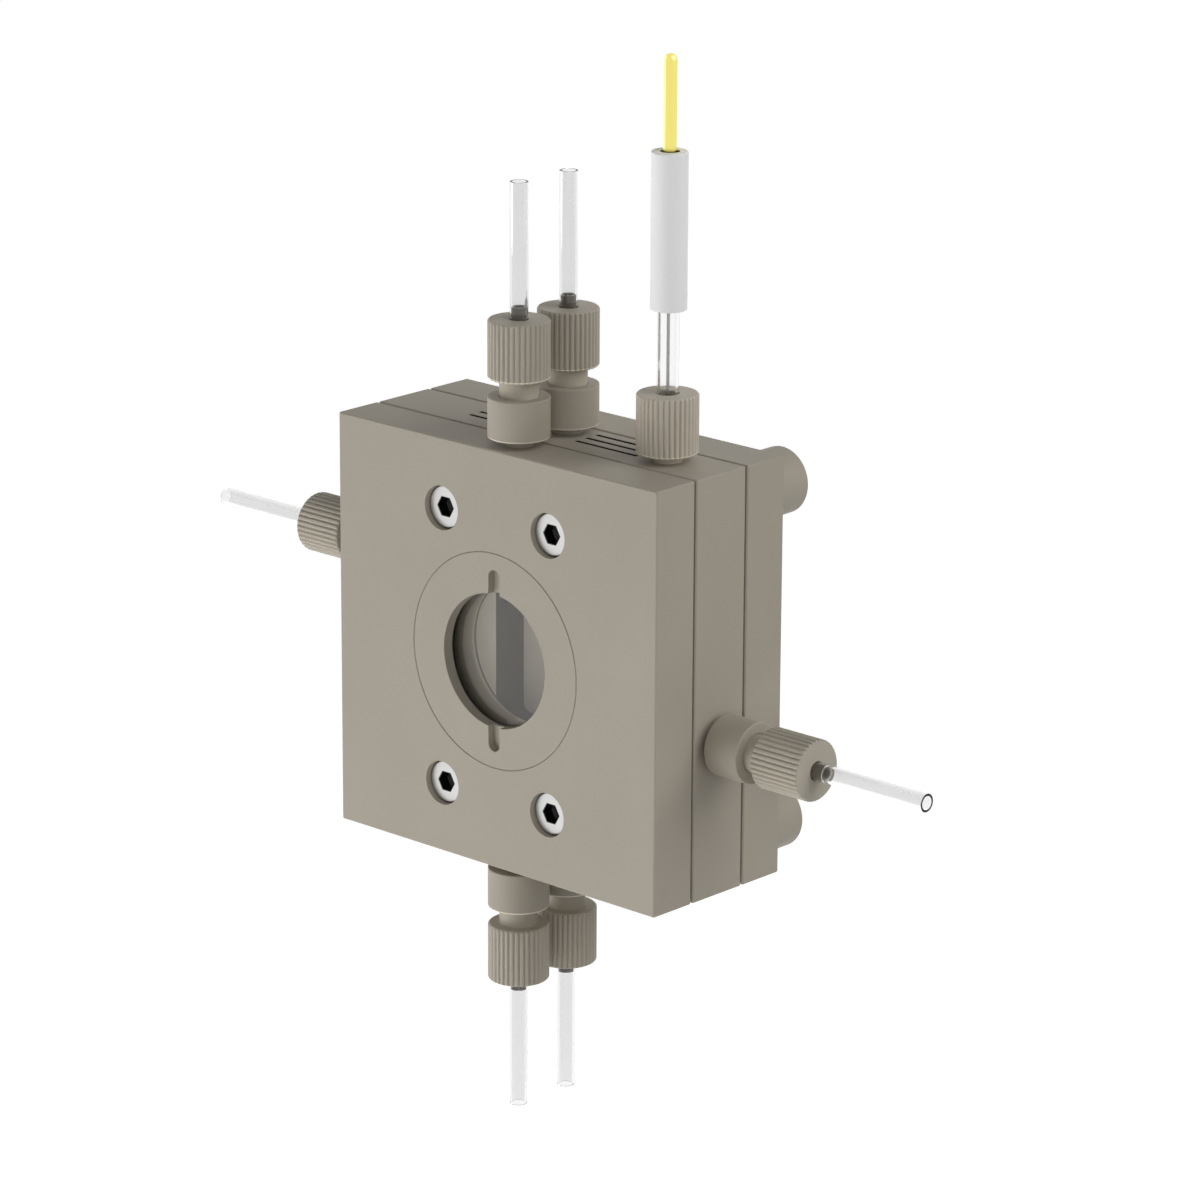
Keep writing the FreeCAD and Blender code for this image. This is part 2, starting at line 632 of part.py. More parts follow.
def nut():
    """Knurled nut: male thread below a knurled head, bored for the tube."""
    thread = turned([
        (0, NUT_THREAD_END),
        (NUT_THREAD_RADIUS - NUT_EDGE_BREAK, NUT_THREAD_END),
        (NUT_THREAD_RADIUS, NUT_THREAD_END + NUT_EDGE_BREAK),
        (NUT_THREAD_RADIUS, NUT_HEAD_BOTTOM),
        (0, NUT_HEAD_BOTTOM),
    ])
    body = knurled_head(NUT_HEAD_RADIUS, NUT_HEAD_BOTTOM, NUT_HEAD_TOP).fuse(thread)
    bore = rod(TUBE_RADIUS + TUBE_CLEARANCE, Vector(0, 0, NUT_THREAD_END), UP, NUT_HEAD_TOP)
    return body.cut(bore)


def ferrule():
    """Conical sealing ferrule on the end of the tube."""
    profile = [
        (FERRULE_BORE_RADIUS, SOCKET_FLOOR),
        (FERRULE_BORE_RADIUS + FERRULE_NOSE_WALL, SOCKET_FLOOR),
        (FERRULE_RADIUS, NUT_THREAD_END - FERRULE_RIM),
        (FERRULE_RADIUS, NUT_THREAD_END),
        (FERRULE_BORE_RADIUS, NUT_THREAD_END),
    ]
    return turned(profile)


def tube():
    """Clear fluoropolymer tube, widened from the socket floor to the end of its insert."""
    seat_end = INSERT_END + PRESSED_CLEARANCE
    profile = [
        (INSERT_SEAT_RADIUS, SOCKET_FLOOR),
        (TUBE_RADIUS, SOCKET_FLOOR),
        (TUBE_RADIUS, TUBE_END),
        (TUBE_BORE_RADIUS, TUBE_END),
        (TUBE_BORE_RADIUS, seat_end),
        (INSERT_SEAT_RADIUS, seat_end),
    ]
    return turned(profile)


def tube_insert():
    """Stiffening insert inside the tube, standing out a little past the nut."""
    bore_radius = INSERT_RADIUS - INSERT_WALL
    profile = [
        (bore_radius, SOCKET_FLOOR),
        (INSERT_RADIUS, SOCKET_FLOOR),
        (INSERT_RADIUS, INSERT_END),
        (bore_radius, INSERT_END),
    ]
    return turned(profile)


def reference_nut():
    """Knurled nut that holds the reference electrode in the middle plate."""
    body = knurled_head(REFERENCE_NUT_RADIUS, REFERENCE_NECK, REFERENCE_NUT_TOP)
    start = Vector(0, 0, -REFERENCE_THREAD_LENGTH)
    thread_length = REFERENCE_THREAD_LENGTH + REFERENCE_NECK
    body = body.fuse(rod(REFERENCE_THREAD_RADIUS, start, UP, thread_length))
    wide = GLASS_BODY_RADIUS + STEM_CLEARANCE
    shoulder = Vector(0, 0, GLASS_SHOULDER)
    bores = [rod(STEM_HOLE_RADIUS, start, UP, REFERENCE_NUT_TOP)]
    bores.append(rod(wide, shoulder, UP, REFERENCE_NUT_TOP - GLASS_SHOULDER))
    return body.cut(bores)


def reference_seal():
    """Ring seal under the reference nut, tight on the glass stem."""
    bore_radius = STEM_RADIUS + PRESSED_CLEARANCE
    profile = [
        (bore_radius, SEAL_FOOT),
        (REFERENCE_THREAD_RADIUS, SEAL_FOOT),
        (REFERENCE_THREAD_RADIUS, -REFERENCE_THREAD_LENGTH),
        (bore_radius, -REFERENCE_THREAD_LENGTH),
    ]
    return turned(profile)


def reference_glass():
    """Glass body of the reference electrode with its narrow stem."""
    body_bore = GLASS_BODY_RADIUS - GLASS_BODY_WALL
    stem_bore = STEM_RADIUS - STEM_WALL
    bore_shoulder = GLASS_SHOULDER + GLASS_BODY_WALL
    profile = [
        (stem_bore, -STEM_REACH),
        (STEM_RADIUS, -STEM_REACH),
        (STEM_RADIUS, GLASS_SHOULDER),
        (GLASS_BODY_RADIUS, GLASS_SHOULDER),
        (GLASS_BODY_RADIUS, GLASS_BODY_TOP),
        (body_bore, GLASS_BODY_TOP),
        (body_bore, bore_shoulder),
        (stem_bore, bore_shoulder),
    ]
    return turned(profile)


def reference_frit():
    """Porous plug in the tip of the stem."""
    radius = STEM_RADIUS - STEM_WALL - PRESSED_CLEARANCE
    return rod(radius, Vector(0, 0, -STEM_REACH), UP, FRIT_LENGTH)


def silver_wire():
    """Coated silver wire from the stem up to the contact pin."""
    start = FRIT_LENGTH - STEM_REACH
    return rod(WIRE_RADIUS, Vector(0, 0, start), UP, PIN_FOOT - start)


def reference_sleeve():
    """White sleeve that joins the glass body and the contact pin."""
    glass_socket_radius = GLASS_BODY_RADIUS + SLEEVE_CLEARANCE
    pin_socket_radius = PIN_TAIL_RADIUS + SLEEVE_CLEARANCE
    mouth_floor = SLEEVE_TOP - SLEEVE_MOUTH_DEPTH
    profile = [
        (glass_socket_radius, SLEEVE_BOTTOM),
        (SLEEVE_RADIUS, SLEEVE_BOTTOM),
        (SLEEVE_RADIUS, SLEEVE_TOP),
        (SLEEVE_MOUTH_RADIUS, SLEEVE_TOP),
        (SLEEVE_MOUTH_RADIUS, mouth_floor),
        (pin_socket_radius, mouth_floor),
        (pin_socket_radius, GLASS_BODY_TOP),
        (glass_socket_radius, GLASS_BODY_TOP),
    ]
    return turned(profile)


def contact_pin():
    """Gold plated contact pin with a round top and a narrower tail in the sleeve."""
    cap_height = PIN_TOP - PIN_RADIUS
    tail = rod(PIN_TAIL_RADIUS, Vector(0, 0, PIN_FOOT), UP, SLEEVE_TOP - PIN_FOOT)
    shank = rod(PIN_RADIUS, Vector(0, 0, SLEEVE_TOP), UP, cap_height - SLEEVE_TOP)
    cap = Part.makeSphere(PIN_RADIUS, Vector(0, 0, cap_height))
    return shank.fuse([tail, cap]).removeSplitter()


def fitting_pieces():
    """The pieces of one liquid fitting, made along +Z from the face of its plate."""
    return {
        "adapter": adapter(),
        "nut": nut(),
        "ferrule": ferrule(),
        "tube": tube(),
        "tube_insert": tube_insert(),
    }


def reference_pieces():
    """The pieces of the reference electrode, made along +Z from the top face."""
    return {
        "reference_nut": reference_nut(),
        "reference_seal": reference_seal(),
        "reference_glass": reference_glass(),
        "reference_frit": reference_frit(),
        "silver_wire": silver_wire(),
        "reference_sleeve": reference_sleeve(),
        "contact_pin": contact_pin(),
    }


def build():
    """All nodes by name."""
    nodes = {
        "front_plate": front_plate(),
        "window_ring": window_ring(),
        "window_slip_washer": window_slip_washer(),
        "window_glass": window_glass(),
        "window_gasket": window_gasket(),
        "front_gasket": front_gasket(),
        "middle_plate": middle_plate(),
        "electrode_gasket": electrode_gasket(),
        "working_electrode": working_electrode(),
        "membrane": membrane(),
        "spacer_frame": spacer_frame(),
        "counter_electrode": counter_electrode(),
        "pressure_pad": pressure_pad(),
        "rear_gasket": rear_gasket(),
        "rear_plate": rear_plate(),
        "clamp_screws": clamp_screws(),
        "foot_screws": foot_screws(),
    }
    for side, (x, z) in FOOT_PLACES.items():
        nodes[side + "_foot"] = rear_foot(x, z)
    pieces = fitting_pieces()
    for port in PORTS:
        for piece, shape in pieces.items():
            nodes[port.name + "_" + piece] = place(shape, port)
    for name, shape in reference_pieces().items():
        nodes[name] = place(shape, REFERENCE_PORT)
    return nodes


os.makedirs("parts", exist_ok=True)
for node, solid in build().items():
    solid.exportStep(os.path.join("parts", node + ".step"))
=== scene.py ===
"""Looks of the photoelectrochemical flow cell: turned pieces, finishes, light and camera."""

import json
import logging
import math
from dataclasses import dataclass, field
from enum import Enum
from typing import Dict, List, Optional, Sequence, Tuple

import bmesh
import bpy
from bpy.types import Material, Mesh, Node, NodeSocket, NodeTree, Object, bpy_prop_collection
from mathutils import Matrix, Vector

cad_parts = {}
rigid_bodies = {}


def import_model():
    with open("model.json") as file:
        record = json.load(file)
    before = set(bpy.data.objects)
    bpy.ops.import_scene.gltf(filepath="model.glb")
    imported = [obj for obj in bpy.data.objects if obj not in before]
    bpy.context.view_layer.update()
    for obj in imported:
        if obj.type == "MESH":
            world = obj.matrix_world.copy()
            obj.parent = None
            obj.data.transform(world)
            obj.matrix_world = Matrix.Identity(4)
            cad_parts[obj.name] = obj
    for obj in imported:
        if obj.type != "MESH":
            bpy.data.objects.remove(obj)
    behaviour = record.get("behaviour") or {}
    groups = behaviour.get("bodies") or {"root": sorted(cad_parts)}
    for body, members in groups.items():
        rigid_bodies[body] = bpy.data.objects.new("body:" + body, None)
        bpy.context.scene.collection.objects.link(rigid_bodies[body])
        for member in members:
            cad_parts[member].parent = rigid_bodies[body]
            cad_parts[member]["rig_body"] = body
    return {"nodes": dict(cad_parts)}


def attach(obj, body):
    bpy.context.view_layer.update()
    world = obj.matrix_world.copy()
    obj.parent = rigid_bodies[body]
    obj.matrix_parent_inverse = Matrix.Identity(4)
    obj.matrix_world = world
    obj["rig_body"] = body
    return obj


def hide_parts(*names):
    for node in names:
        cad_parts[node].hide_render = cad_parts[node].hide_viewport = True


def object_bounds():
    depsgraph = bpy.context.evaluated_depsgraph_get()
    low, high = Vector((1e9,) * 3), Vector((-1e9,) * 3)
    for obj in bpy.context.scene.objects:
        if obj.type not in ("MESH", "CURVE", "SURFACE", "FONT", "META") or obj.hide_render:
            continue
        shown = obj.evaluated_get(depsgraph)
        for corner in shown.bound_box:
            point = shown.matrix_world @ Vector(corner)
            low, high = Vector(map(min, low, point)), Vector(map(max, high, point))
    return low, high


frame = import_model()
cad_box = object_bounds()

MM = 0.001
HALF_BLOCK = 35.0
FOOT_REACH = 28.3
FULL_TURN = 2 * math.pi
WHITE_LIGHT = (1.0, 1.0, 1.0, 1.0)
COPY_WELD = 0.2e-6
FORM_WELD = 0.5e-6
SHARP_ON_COPY = 30.0
SHARP_ON_TURNED = 34.0
Rgb = Tuple[float, float, float]
Point = Tuple[float, float, float]
logging.basicConfig(level=logging.INFO, format="%(levelname)s %(message)s")
log = logging.getLogger("flow_cell")


class Outward(Enum):
    """Direction in which a piece stands out of the block."""

    UP = (0.0, 0.0, 1.0)
    DOWN = (0.0, 0.0, -1.0)
    LEFT = (-1.0, 0.0, 0.0)
    RIGHT = (1.0, 0.0, 0.0)
    FRONT = (0.0, -1.0, 0.0)
    BACK = (0.0, 1.0, 0.0)


class Slot(Enum):
    """Material slot of the record from which a piece takes its finish."""

    BODY = "body_plastic"
    WHITE = "white_plastic"
    INSERT = "insert_plastic"
    TUBE = "clear_tube"
    WINDOW = "window_glass"
    ELECTRODE_GLASS = "electrode_glass"
    GASKET = "gasket"
    ELECTRODE = "electrode_sheet"
    MEMBRANE = "membrane"
    FRIT = "frit"
    STEEL = "screw_steel"
    SILVER = "silver_wire"
    GOLD = "gold_pin"


def lit(red: float, green: float, blue: float) -> Rgb:
    """Linear colour from screen values of 0 to 255.

    Args:
        red: Red, from 0 to 255.
        green: Green, the same way.
        blue: Blue, the same way.

    Returns:
        The colour's three linear values.
    """
    return tuple(
        (v / 255 / 12.92) if v / 255 <= 0.04045 else ((v / 255 + 0.055) / 1.055) ** 2.4
        for v in (red, green, blue)
    )


def linked(name: str, data: bpy.types.ID) -> Object:
    """New object in the scene.

    Args:
        name: Name of the object.
        data: Its mesh, light or camera.

    Returns:
        The object.
    """
    made = bpy.data.objects.new(name, data)
    bpy.context.scene.collection.objects.link(made)
    return made


# Node graphs


class Graph:
    """Short way to add and join nodes in one tree."""

    def __init__(self, tree: NodeTree) -> None:
        """Keep the tree that the nodes go into."""
        self.tree = tree

    def feed(self, target: NodeSocket, value: object) -> None:
        """Join a socket to an input, or set the input's constant value.

        Args:
            target: The input.
            value: Socket to join or constant to set.
        """
        if isinstance(value, NodeSocket):
            self.tree.links.new(value, target)
        else:
            target.default_value = value

    def add(self, kind: str, values: Optional[Dict] = None, **settings: object) -> Node:
        """Add a node.

        Args:
            kind: Type name of the node.
            values: Socket to join or value to set, by the input's name or number.
            **settings: Properties of the node.

        Returns:
            The new node.
        """
        node = self.tree.nodes.new(kind)
        for key, value in settings.items():
            setattr(node, key, value)
        for key, value in (values or {}).items():
            self.feed(node.inputs[key], value)
        return node

    def math(self, operation: str, first: object, second: object = None,
             clamp: bool = False) -> NodeSocket:
        """Result of a sum on one or two sockets or numbers; clamp keeps it from 0 to 1."""
        values = {0: first} if second is None else {0: first, 1: second}
        return self.add("ShaderNodeMath", values, operation=operation, use_clamp=clamp).outputs[0]

    def scaled(self, colour: NodeSocket, factor: NodeSocket) -> NodeSocket:
        """Colour times a factor."""
        values = {0: colour, "Scale": factor}
        return self.add("ShaderNodeVectorMath", values, operation="SCALE").outputs[0]

    def axes(self, vector: NodeSocket) -> bpy_prop_collection:
        """X, Y and Z of a vector by name."""
        return self.add("ShaderNodeSeparateXYZ", {"Vector": vector}).outputs

    def mark(self, name: str) -> NodeSocket:
        """Value that the turned form left on the mesh."""
        return self.add("ShaderNodeAttribute", attribute_name=name).outputs["Fac"]


class NodeGroup(Graph):
    """Node group with named sockets."""

    def __init__(self, name: str, kind: str, inputs: Dict[str, str],
                 outputs: Dict[str, str]) -> None:
        """Start the group.

        Args:
            name: Name of the group.
            kind: Shader or Geometry.
            inputs: Kind of socket by its name.
            outputs: The same for the results.
        """
        super().__init__(bpy.data.node_groups.new(name, kind + "NodeTree"))
        for way, sockets in (("INPUT", inputs), ("OUTPUT", outputs)):
            for label, socket in sockets.items():
                self.tree.interface.new_socket(label, in_out=way,
                                               socket_type="NodeSocket" + socket)
        self.given = self.add("NodeGroupInput").outputs
        self.end = self.add("NodeGroupOutput")

    def give(self, **results: NodeSocket) -> NodeTree:
        """Join the results to the group's outputs and hand out the tree.

        Args:
            **results: Socket by the output's name.

        Returns:
            The group's tree.
        """
        for label, socket in results.items():
            self.feed(self.end.inputs[label], socket)
        return self.tree

    def give_dressed(self, shape: NodeSocket) -> NodeTree:
        """End a geometry group: real geometry with the material from its Material input.

        Args:
            shape: Geometry that the group ends with.

        Returns:
            The group's tree.
        """
        real = self.add("GeometryNodeRealizeInstances", {"Geometry": shape})
        dress = self.add("GeometryNodeSetMaterial", {
            "Geometry": real.outputs["Geometry"], "Material": self.given["Material"],
        })
        return self.give(Geometry=dress.outputs["Geometry"])


def grain_group() -> NodeTree:
    """Slow drift of tone and fine speckle of a filled plastic, with its roughness.

    Returns:
        The group's tree.
    """
    g = NodeGroup("plastic_grain", "Shader",
                  {"Coordinates": "Vector", "Tone": "Color", "Drift": "Float",
                   "Speckle": "Float", "Smoothest": "Float"},
                  {"Colour": "Color", "Roughness": "Float", "Height": "Float"})
    slow_noise, fine_noise, rough_spread = (55.0, 3.0, 0.55), (2600.0, 2.0, 0.6), 0.12
    slow, fine = (
        g.add("ShaderNodeTexNoise", {
            "Vector": g.given["Coordinates"], "Scale": scale, "Detail": detail,
            "Roughness": roughness,
        }).outputs["Fac"]
        for scale, detail, roughness in (slow_noise, fine_noise)
    )
    drift = g.math("MULTIPLY", g.math("SUBTRACT", slow, 0.5), g.given["Drift"])
    speck = g.math("MULTIPLY", g.math("SUBTRACT", fine, 0.5), g.given["Speckle"])
    factor = g.math("ADD", g.math("ADD", drift, speck), 1.0)
    rough = g.math("ADD", g.given["Smoothest"], g.math("MULTIPLY", fine, rough_spread))
    return g.give(Colour=g.scaled(g.given["Tone"], factor), Roughness=rough, Height=fine)


def turning_group() -> NodeTree:
    """Fine rings that a lathe tool leaves, from the turned form's own radius and height.

    Returns:
        The group's tree.
    """
    g = NodeGroup("turning_marks", "Shader", {"Pitch": "Float"}, {"Height": "Float"})
    rings = []
    for name in ("turn_radius", "turn_height"):
        turns = g.math("DIVIDE", g.mark(name), g.given["Pitch"])
        rings.append(g.math("SINE", g.math("MULTIPLY", turns, FULL_TURN)))
    return g.give(Height=g.math("MULTIPLY", g.math("ADD", rings[0], rings[1]), 0.5))


def cutter_group() -> NodeTree:
    """Faint wandering lines of a face cutter on the plates.

    Returns:
        The group's tree.
    """
    g = NodeGroup("cutter_lines", "Shader", {"Coordinates": "Vector"}, {"Height": "Float"})
    wave = g.add("ShaderNodeTexWave", {
        "Vector": g.given["Coordinates"], "Scale": 520.0, "Distortion": 1.2, "Detail": 1.0,
        "Detail Scale": 0.3,
    }, wave_type="BANDS", bands_direction="DIAGONAL")
    return g.give(Height=wave.outputs["Fac"])


def rib_shade_group() -> NodeTree:
    """Painted shade in the grooves between ribs, and painted highlights on the marked rims.

    Returns:
        The group's tree.
    """
    g = NodeGroup("rib_relief", "Shader",
                  {"Colour": "Color", "Contrast": "Float", "Rim Highlight": "Float"},
                  {"Colour": "Color"})
    shade = g.math("MULTIPLY", g.mark("groove"), g.given["Contrast"])
    lift = g.math("MULTIPLY", g.mark("scuffed"), g.given["Rim Highlight"])
    factor = g.math("ADD", g.math("SUBTRACT", 1.0, shade), lift)
    return g.give(Colour=g.scaled(g.given["Colour"], factor))


def socket_shade_group() -> NodeTree:
    """Painted shade on the walls of a screw's key socket.

    Returns:
        The group's tree.
    """
    g = NodeGroup("blackened_socket", "Shader", {"Colour": "Color", "Shade": "Float"},
                  {"Colour": "Color"})
    wholly_inside = 0.97
    inside = g.math("GREATER_THAN", g.mark("socket"), wholly_inside)
    shade = g.math("MULTIPLY", inside, g.given["Shade"])
    return g.give(Colour=g.scaled(g.given["Colour"], g.math("SUBTRACT", 1.0, shade)))


def box_shade_group() -> NodeTree:
    """Painted shade or light on the walls inside a box of the piece, changing from the box's front
    to its back.

    Returns:
        The group's tree.
    """
    g = NodeGroup("hollow_tone", "Shader",
                  {"Coordinates": "Vector", "Colour": "Color", "Low": "Vector",
                   "High": "Vector", "Front Gain": "Float", "Back Gain": "Float"},
                  {"Colour": "Color"})
    sides = []
    for first, second in (("Coordinates", "Low"), ("High", "Coordinates")):
        side = g.add("ShaderNodeVectorMath", {0: g.given[first], 1: g.given[second]},
                     operation="SUBTRACT")
        sides.append(g.axes(side.outputs[0]))
    nearest = 1.0
    for side in sides:
        for axis in "XYZ":
            nearest = g.math("MINIMUM", side[axis], nearest)
    inside = g.math("GREATER_THAN", nearest, 0.0)
    past, left = (side["Y"] for side in sides)
    depth = g.math("DIVIDE", past, g.math("ADD", past, left))
    change = g.math("SUBTRACT", g.given["Back Gain"], g.given["Front Gain"])
    gain = g.math("ADD", g.math("MULTIPLY", depth, change), g.given["Front Gain"])
    factor = g.math("ADD", g.math("MULTIPLY", inside, gain), 1.0)
    return g.give(Colour=g.scaled(g.given["Colour"], factor))


@dataclass(frozen=True)
class SharedEffects:
    """Shader node groups that several finishes use, each built once."""

    grain: NodeTree = field(default_factory=grain_group)
    turning: NodeTree = field(default_factory=turning_group)
    cutter: NodeTree = field(default_factory=cutter_group)
    ribs: NodeTree = field(default_factory=rib_shade_group)
    socket: NodeTree = field(default_factory=socket_shade_group)
    hollow: NodeTree = field(default_factory=box_shade_group)


# Finishes


class Finish(Graph):
    """Material that is being made, with its Principled shader."""

    def __init__(self, name: str) -> None:
        """Start an empty material.

        Args:
            name: Name of the material.
        """
        self.material = bpy.data.materials.new(name)
        self.material.use_nodes = True
        super().__init__(self.material.node_tree)
        self.shader = self.tree.nodes["Principled BSDF"].inputs
        self.coordinates = self.add("ShaderNodeTexCoord").outputs["Object"]

    def set(self, **values: object) -> None:
        """Join or set sockets of the shader, with _ for a space in a name."""
        for key, value in values.items():
            self.feed(self.shader[key.replace("_", " ")], value)

    def group(self, tree: NodeTree, values: Optional[Dict] = None) -> bpy_prop_collection:
        """Results of a shared effect, with its coordinates joined where it has them.

        Args:
            tree: Tree of the effect.
            values: Socket or constant by the input's name.

        Returns:
            The effect's outputs by name.
        """
        node = self.add("ShaderNodeGroup", values, node_tree=tree)
        if "Coordinates" in node.inputs:
            self.feed(node.inputs["Coordinates"], self.coordinates)
        return node.outputs

    def grained(self, effects: SharedEffects, spec: "Grained",
                layers: Sequence[Tuple[NodeTree, Dict]] = ()) -> NodeSocket:
        """Join the grain to roughness and, through the layers, to colour.

        Args:
            effects: The shared effects.
            spec: What the finish states.
            layers: Effects that change the colour, and their constant inputs.

        Returns:
            The grain's height.
        """
        grain = self.group(effects.grain, {
            "Tone": (*spec.tone, 1.0), "Drift": spec.drift, "Speckle": spec.speckle,
            "Smoothest": spec.smoothest,
        })
        colour = grain["Colour"]
        for tree, values in layers:
            colour = self.group(tree, {**values, "Colour": colour})["Colour"]
        self.set(Base_Color=colour, Roughness=grain["Roughness"])
        return grain["Height"]

    def bump(self, *heights: Tuple[NodeSocket, float]) -> Material:
        """Chain bumps into the shader.

        Args:
            *heights: Height socket and relief in millimetres of each layer.

        Returns:
            The finished material.
        """
        below = {}
        for socket, relief in heights:
            node = self.add("ShaderNodeBump", {
                "Strength": 1.0, "Distance": relief * MM, "Height": socket, **below,
            })
            below = {"Normal": node.outputs["Normal"]}
        self.set(**below)
        return self.material


@dataclass(frozen=True)
class ShadeBox:
    """Box in a piece, in millimetres, and the painted shade or light on its walls at front and
    back.
    """

    low: Point
    high: Point
    front_gain: float
    back_gain: float

    def inputs(self) -> Dict:
        """Constant inputs of the painted shade effect."""
        return {"Low": Vector(self.low) * MM, "High": Vector(self.high) * MM,
                "Front Gain": self.front_gain, "Back Gain": self.back_gain}


@dataclass(frozen=True)
class Grained:
    """What a finish states: its slot in the record, name, tone and grain."""

    slot: Slot
    name: str
    tone: Rgb
    smoothest: float = 0.5
    drift: float = 0.12
    speckle: float = 0.1


@dataclass(frozen=True)
class FilledPlastic(Grained):
    """Machined filled plastic: its tone, how much the tone drifts, how it was cut, and where shade
    and highlights are painted on it.
    """

    turned: bool = False
    groove_shade: float = 0.0
    highlight_gain: float = 0.0
    shade_boxes: Tuple[ShadeBox, ...] = ()
    turning_pitch: float = 0.22
    grain_relief: float = 0.003
    mark_relief: float = 0.0015
    specular: float = 0.28

    def material(self, effects: SharedEffects) -> Material:
        """Material with grain, tool marks, painted rib shade and rim highlights, and painted shade
        or light in its boxes.

        Args:
            effects: The shared effects.

        Returns:
            The finished material.
        """
        finish = Finish(self.name)
        # Boxes whose walls get painted shade or light.
        layers = [(effects.hollow, box.inputs()) for box in self.shade_boxes]
        # Painted shade in the rib grooves and painted highlights on the marked rims.
        if self.groove_shade or self.highlight_gain:
            rib_paint = {"Contrast": self.groove_shade, "Rim Highlight": self.highlight_gain}
            layers.insert(0, (effects.ribs, rib_paint))
        grain = finish.grained(effects, self, layers)
        finish.set(Specular_IOR_Level=self.specular)
        turning = (effects.turning, {"Pitch": self.turning_pitch * MM})
        marks = finish.group(*turning) if self.turned else finish.group(effects.cutter)
        return finish.bump((grain, self.grain_relief), (marks["Height"], self.mark_relief))


@dataclass(frozen=True)
class TurnedMetal(Grained):
    """Bright metal with turning rings."""

    drift: float = 0.05
    speckle: float = 0.03
    ring_relief: float = 0.0012
    pitch: float = 0.16
    socket_shade: float = 0.0

    def material(self, effects: SharedEffects) -> Material:
        """Metal whose roughness wanders a little and whose rings catch the light.

        Args:
            effects: The shared effects.

        Returns:
            The finished material.
        """
        finish = Finish(self.name)
        # Painted shade in the key socket.
        shaded = [(effects.socket, {"Shade": self.socket_shade})] if self.socket_shade else []
        finish.grained(effects, self, shaded)
        finish.set(Metallic=1.0)
        rings = finish.group(effects.turning, {"Pitch": self.pitch * MM})
        return finish.bump((rings["Height"], self.ring_relief))


@dataclass(frozen=True)
class ClearWall:
    """Clear plastic or glass."""

    slot: Slot
    name: str
    tone: Rgb
    ior: float
    drift: float = 0.04
    ripple: float = 0.0
    ripple_scale: float = 120.0

    def material(self, effects: SharedEffects) -> Material:
        """Transmitting material with a slow drift of tone and, where it has one, a ripple.

        Args:
            effects: The shared effects.

        Returns:
            The finished material.
        """
        finish = Finish(self.name)
        finish.set(IOR=self.ior, Transmission_Weight=1.0, Metallic=0.0, Roughness=0.0)
        grain = finish.group(effects.grain, {"Tone": (*self.tone, 1.0), "Drift": self.drift})
        finish.set(Base_Color=grain["Colour"])
        if not self.ripple:
            return finish.material
        wave = finish.add("ShaderNodeTexNoise", {
            "Vector": finish.coordinates, "Scale": self.ripple_scale, "Detail": 1.0,
        })
        return finish.bump((wave.outputs["Fac"], self.ripple))


@dataclass(frozen=True)
class SoftSheet(Grained):
    """Rubber, membrane or coated sheet."""

    relief: float = 0.004
    specular: float = 0.3

    def material(self, effects: SharedEffects) -> Material:
        """Matte sheet with a fine skin.

        Args:
            effects: The shared effects.

        Returns:
            The finished material.
        """
        finish = Finish(self.name)
        grain = finish.grained(effects, self)
        finish.set(Specular_IOR_Level=self.specular)
        return finish.bump((grain, self.relief))


@dataclass(frozen=True)
class Dressing:
    """Material of a piece and the slot of the record that it belongs to."""

    material: Material
    slot: Slot


BEIGE = lit(165, 158, 145)
# Boxes of painted shade: the window chamber's wall darker near the glass and painted lighter deep
# in, the flow pocket's walls, the contact slots almost black, and the sleeve's mouth.
CHAMBER_SHADE = ShadeBox((-12.05, 4.69, -12.05), (12.05, 9.25, 12.05), -0.8, 0.9)
POCKET_SHADE = ShadeBox((-7.55, 9.25, -13.55), (7.55, 19.0, 13.55), -0.45, -0.45)
SLOT_SHADE = ShadeBox((-18.6, 9.3, 20.0), (18.6, 20.7, 34.94), -0.93, -0.93)
MOUTH_SHADE = ShadeBox((21.85, 13.35, 79.7), (25.15, 16.65, 84.6), -0.85, -0.85)
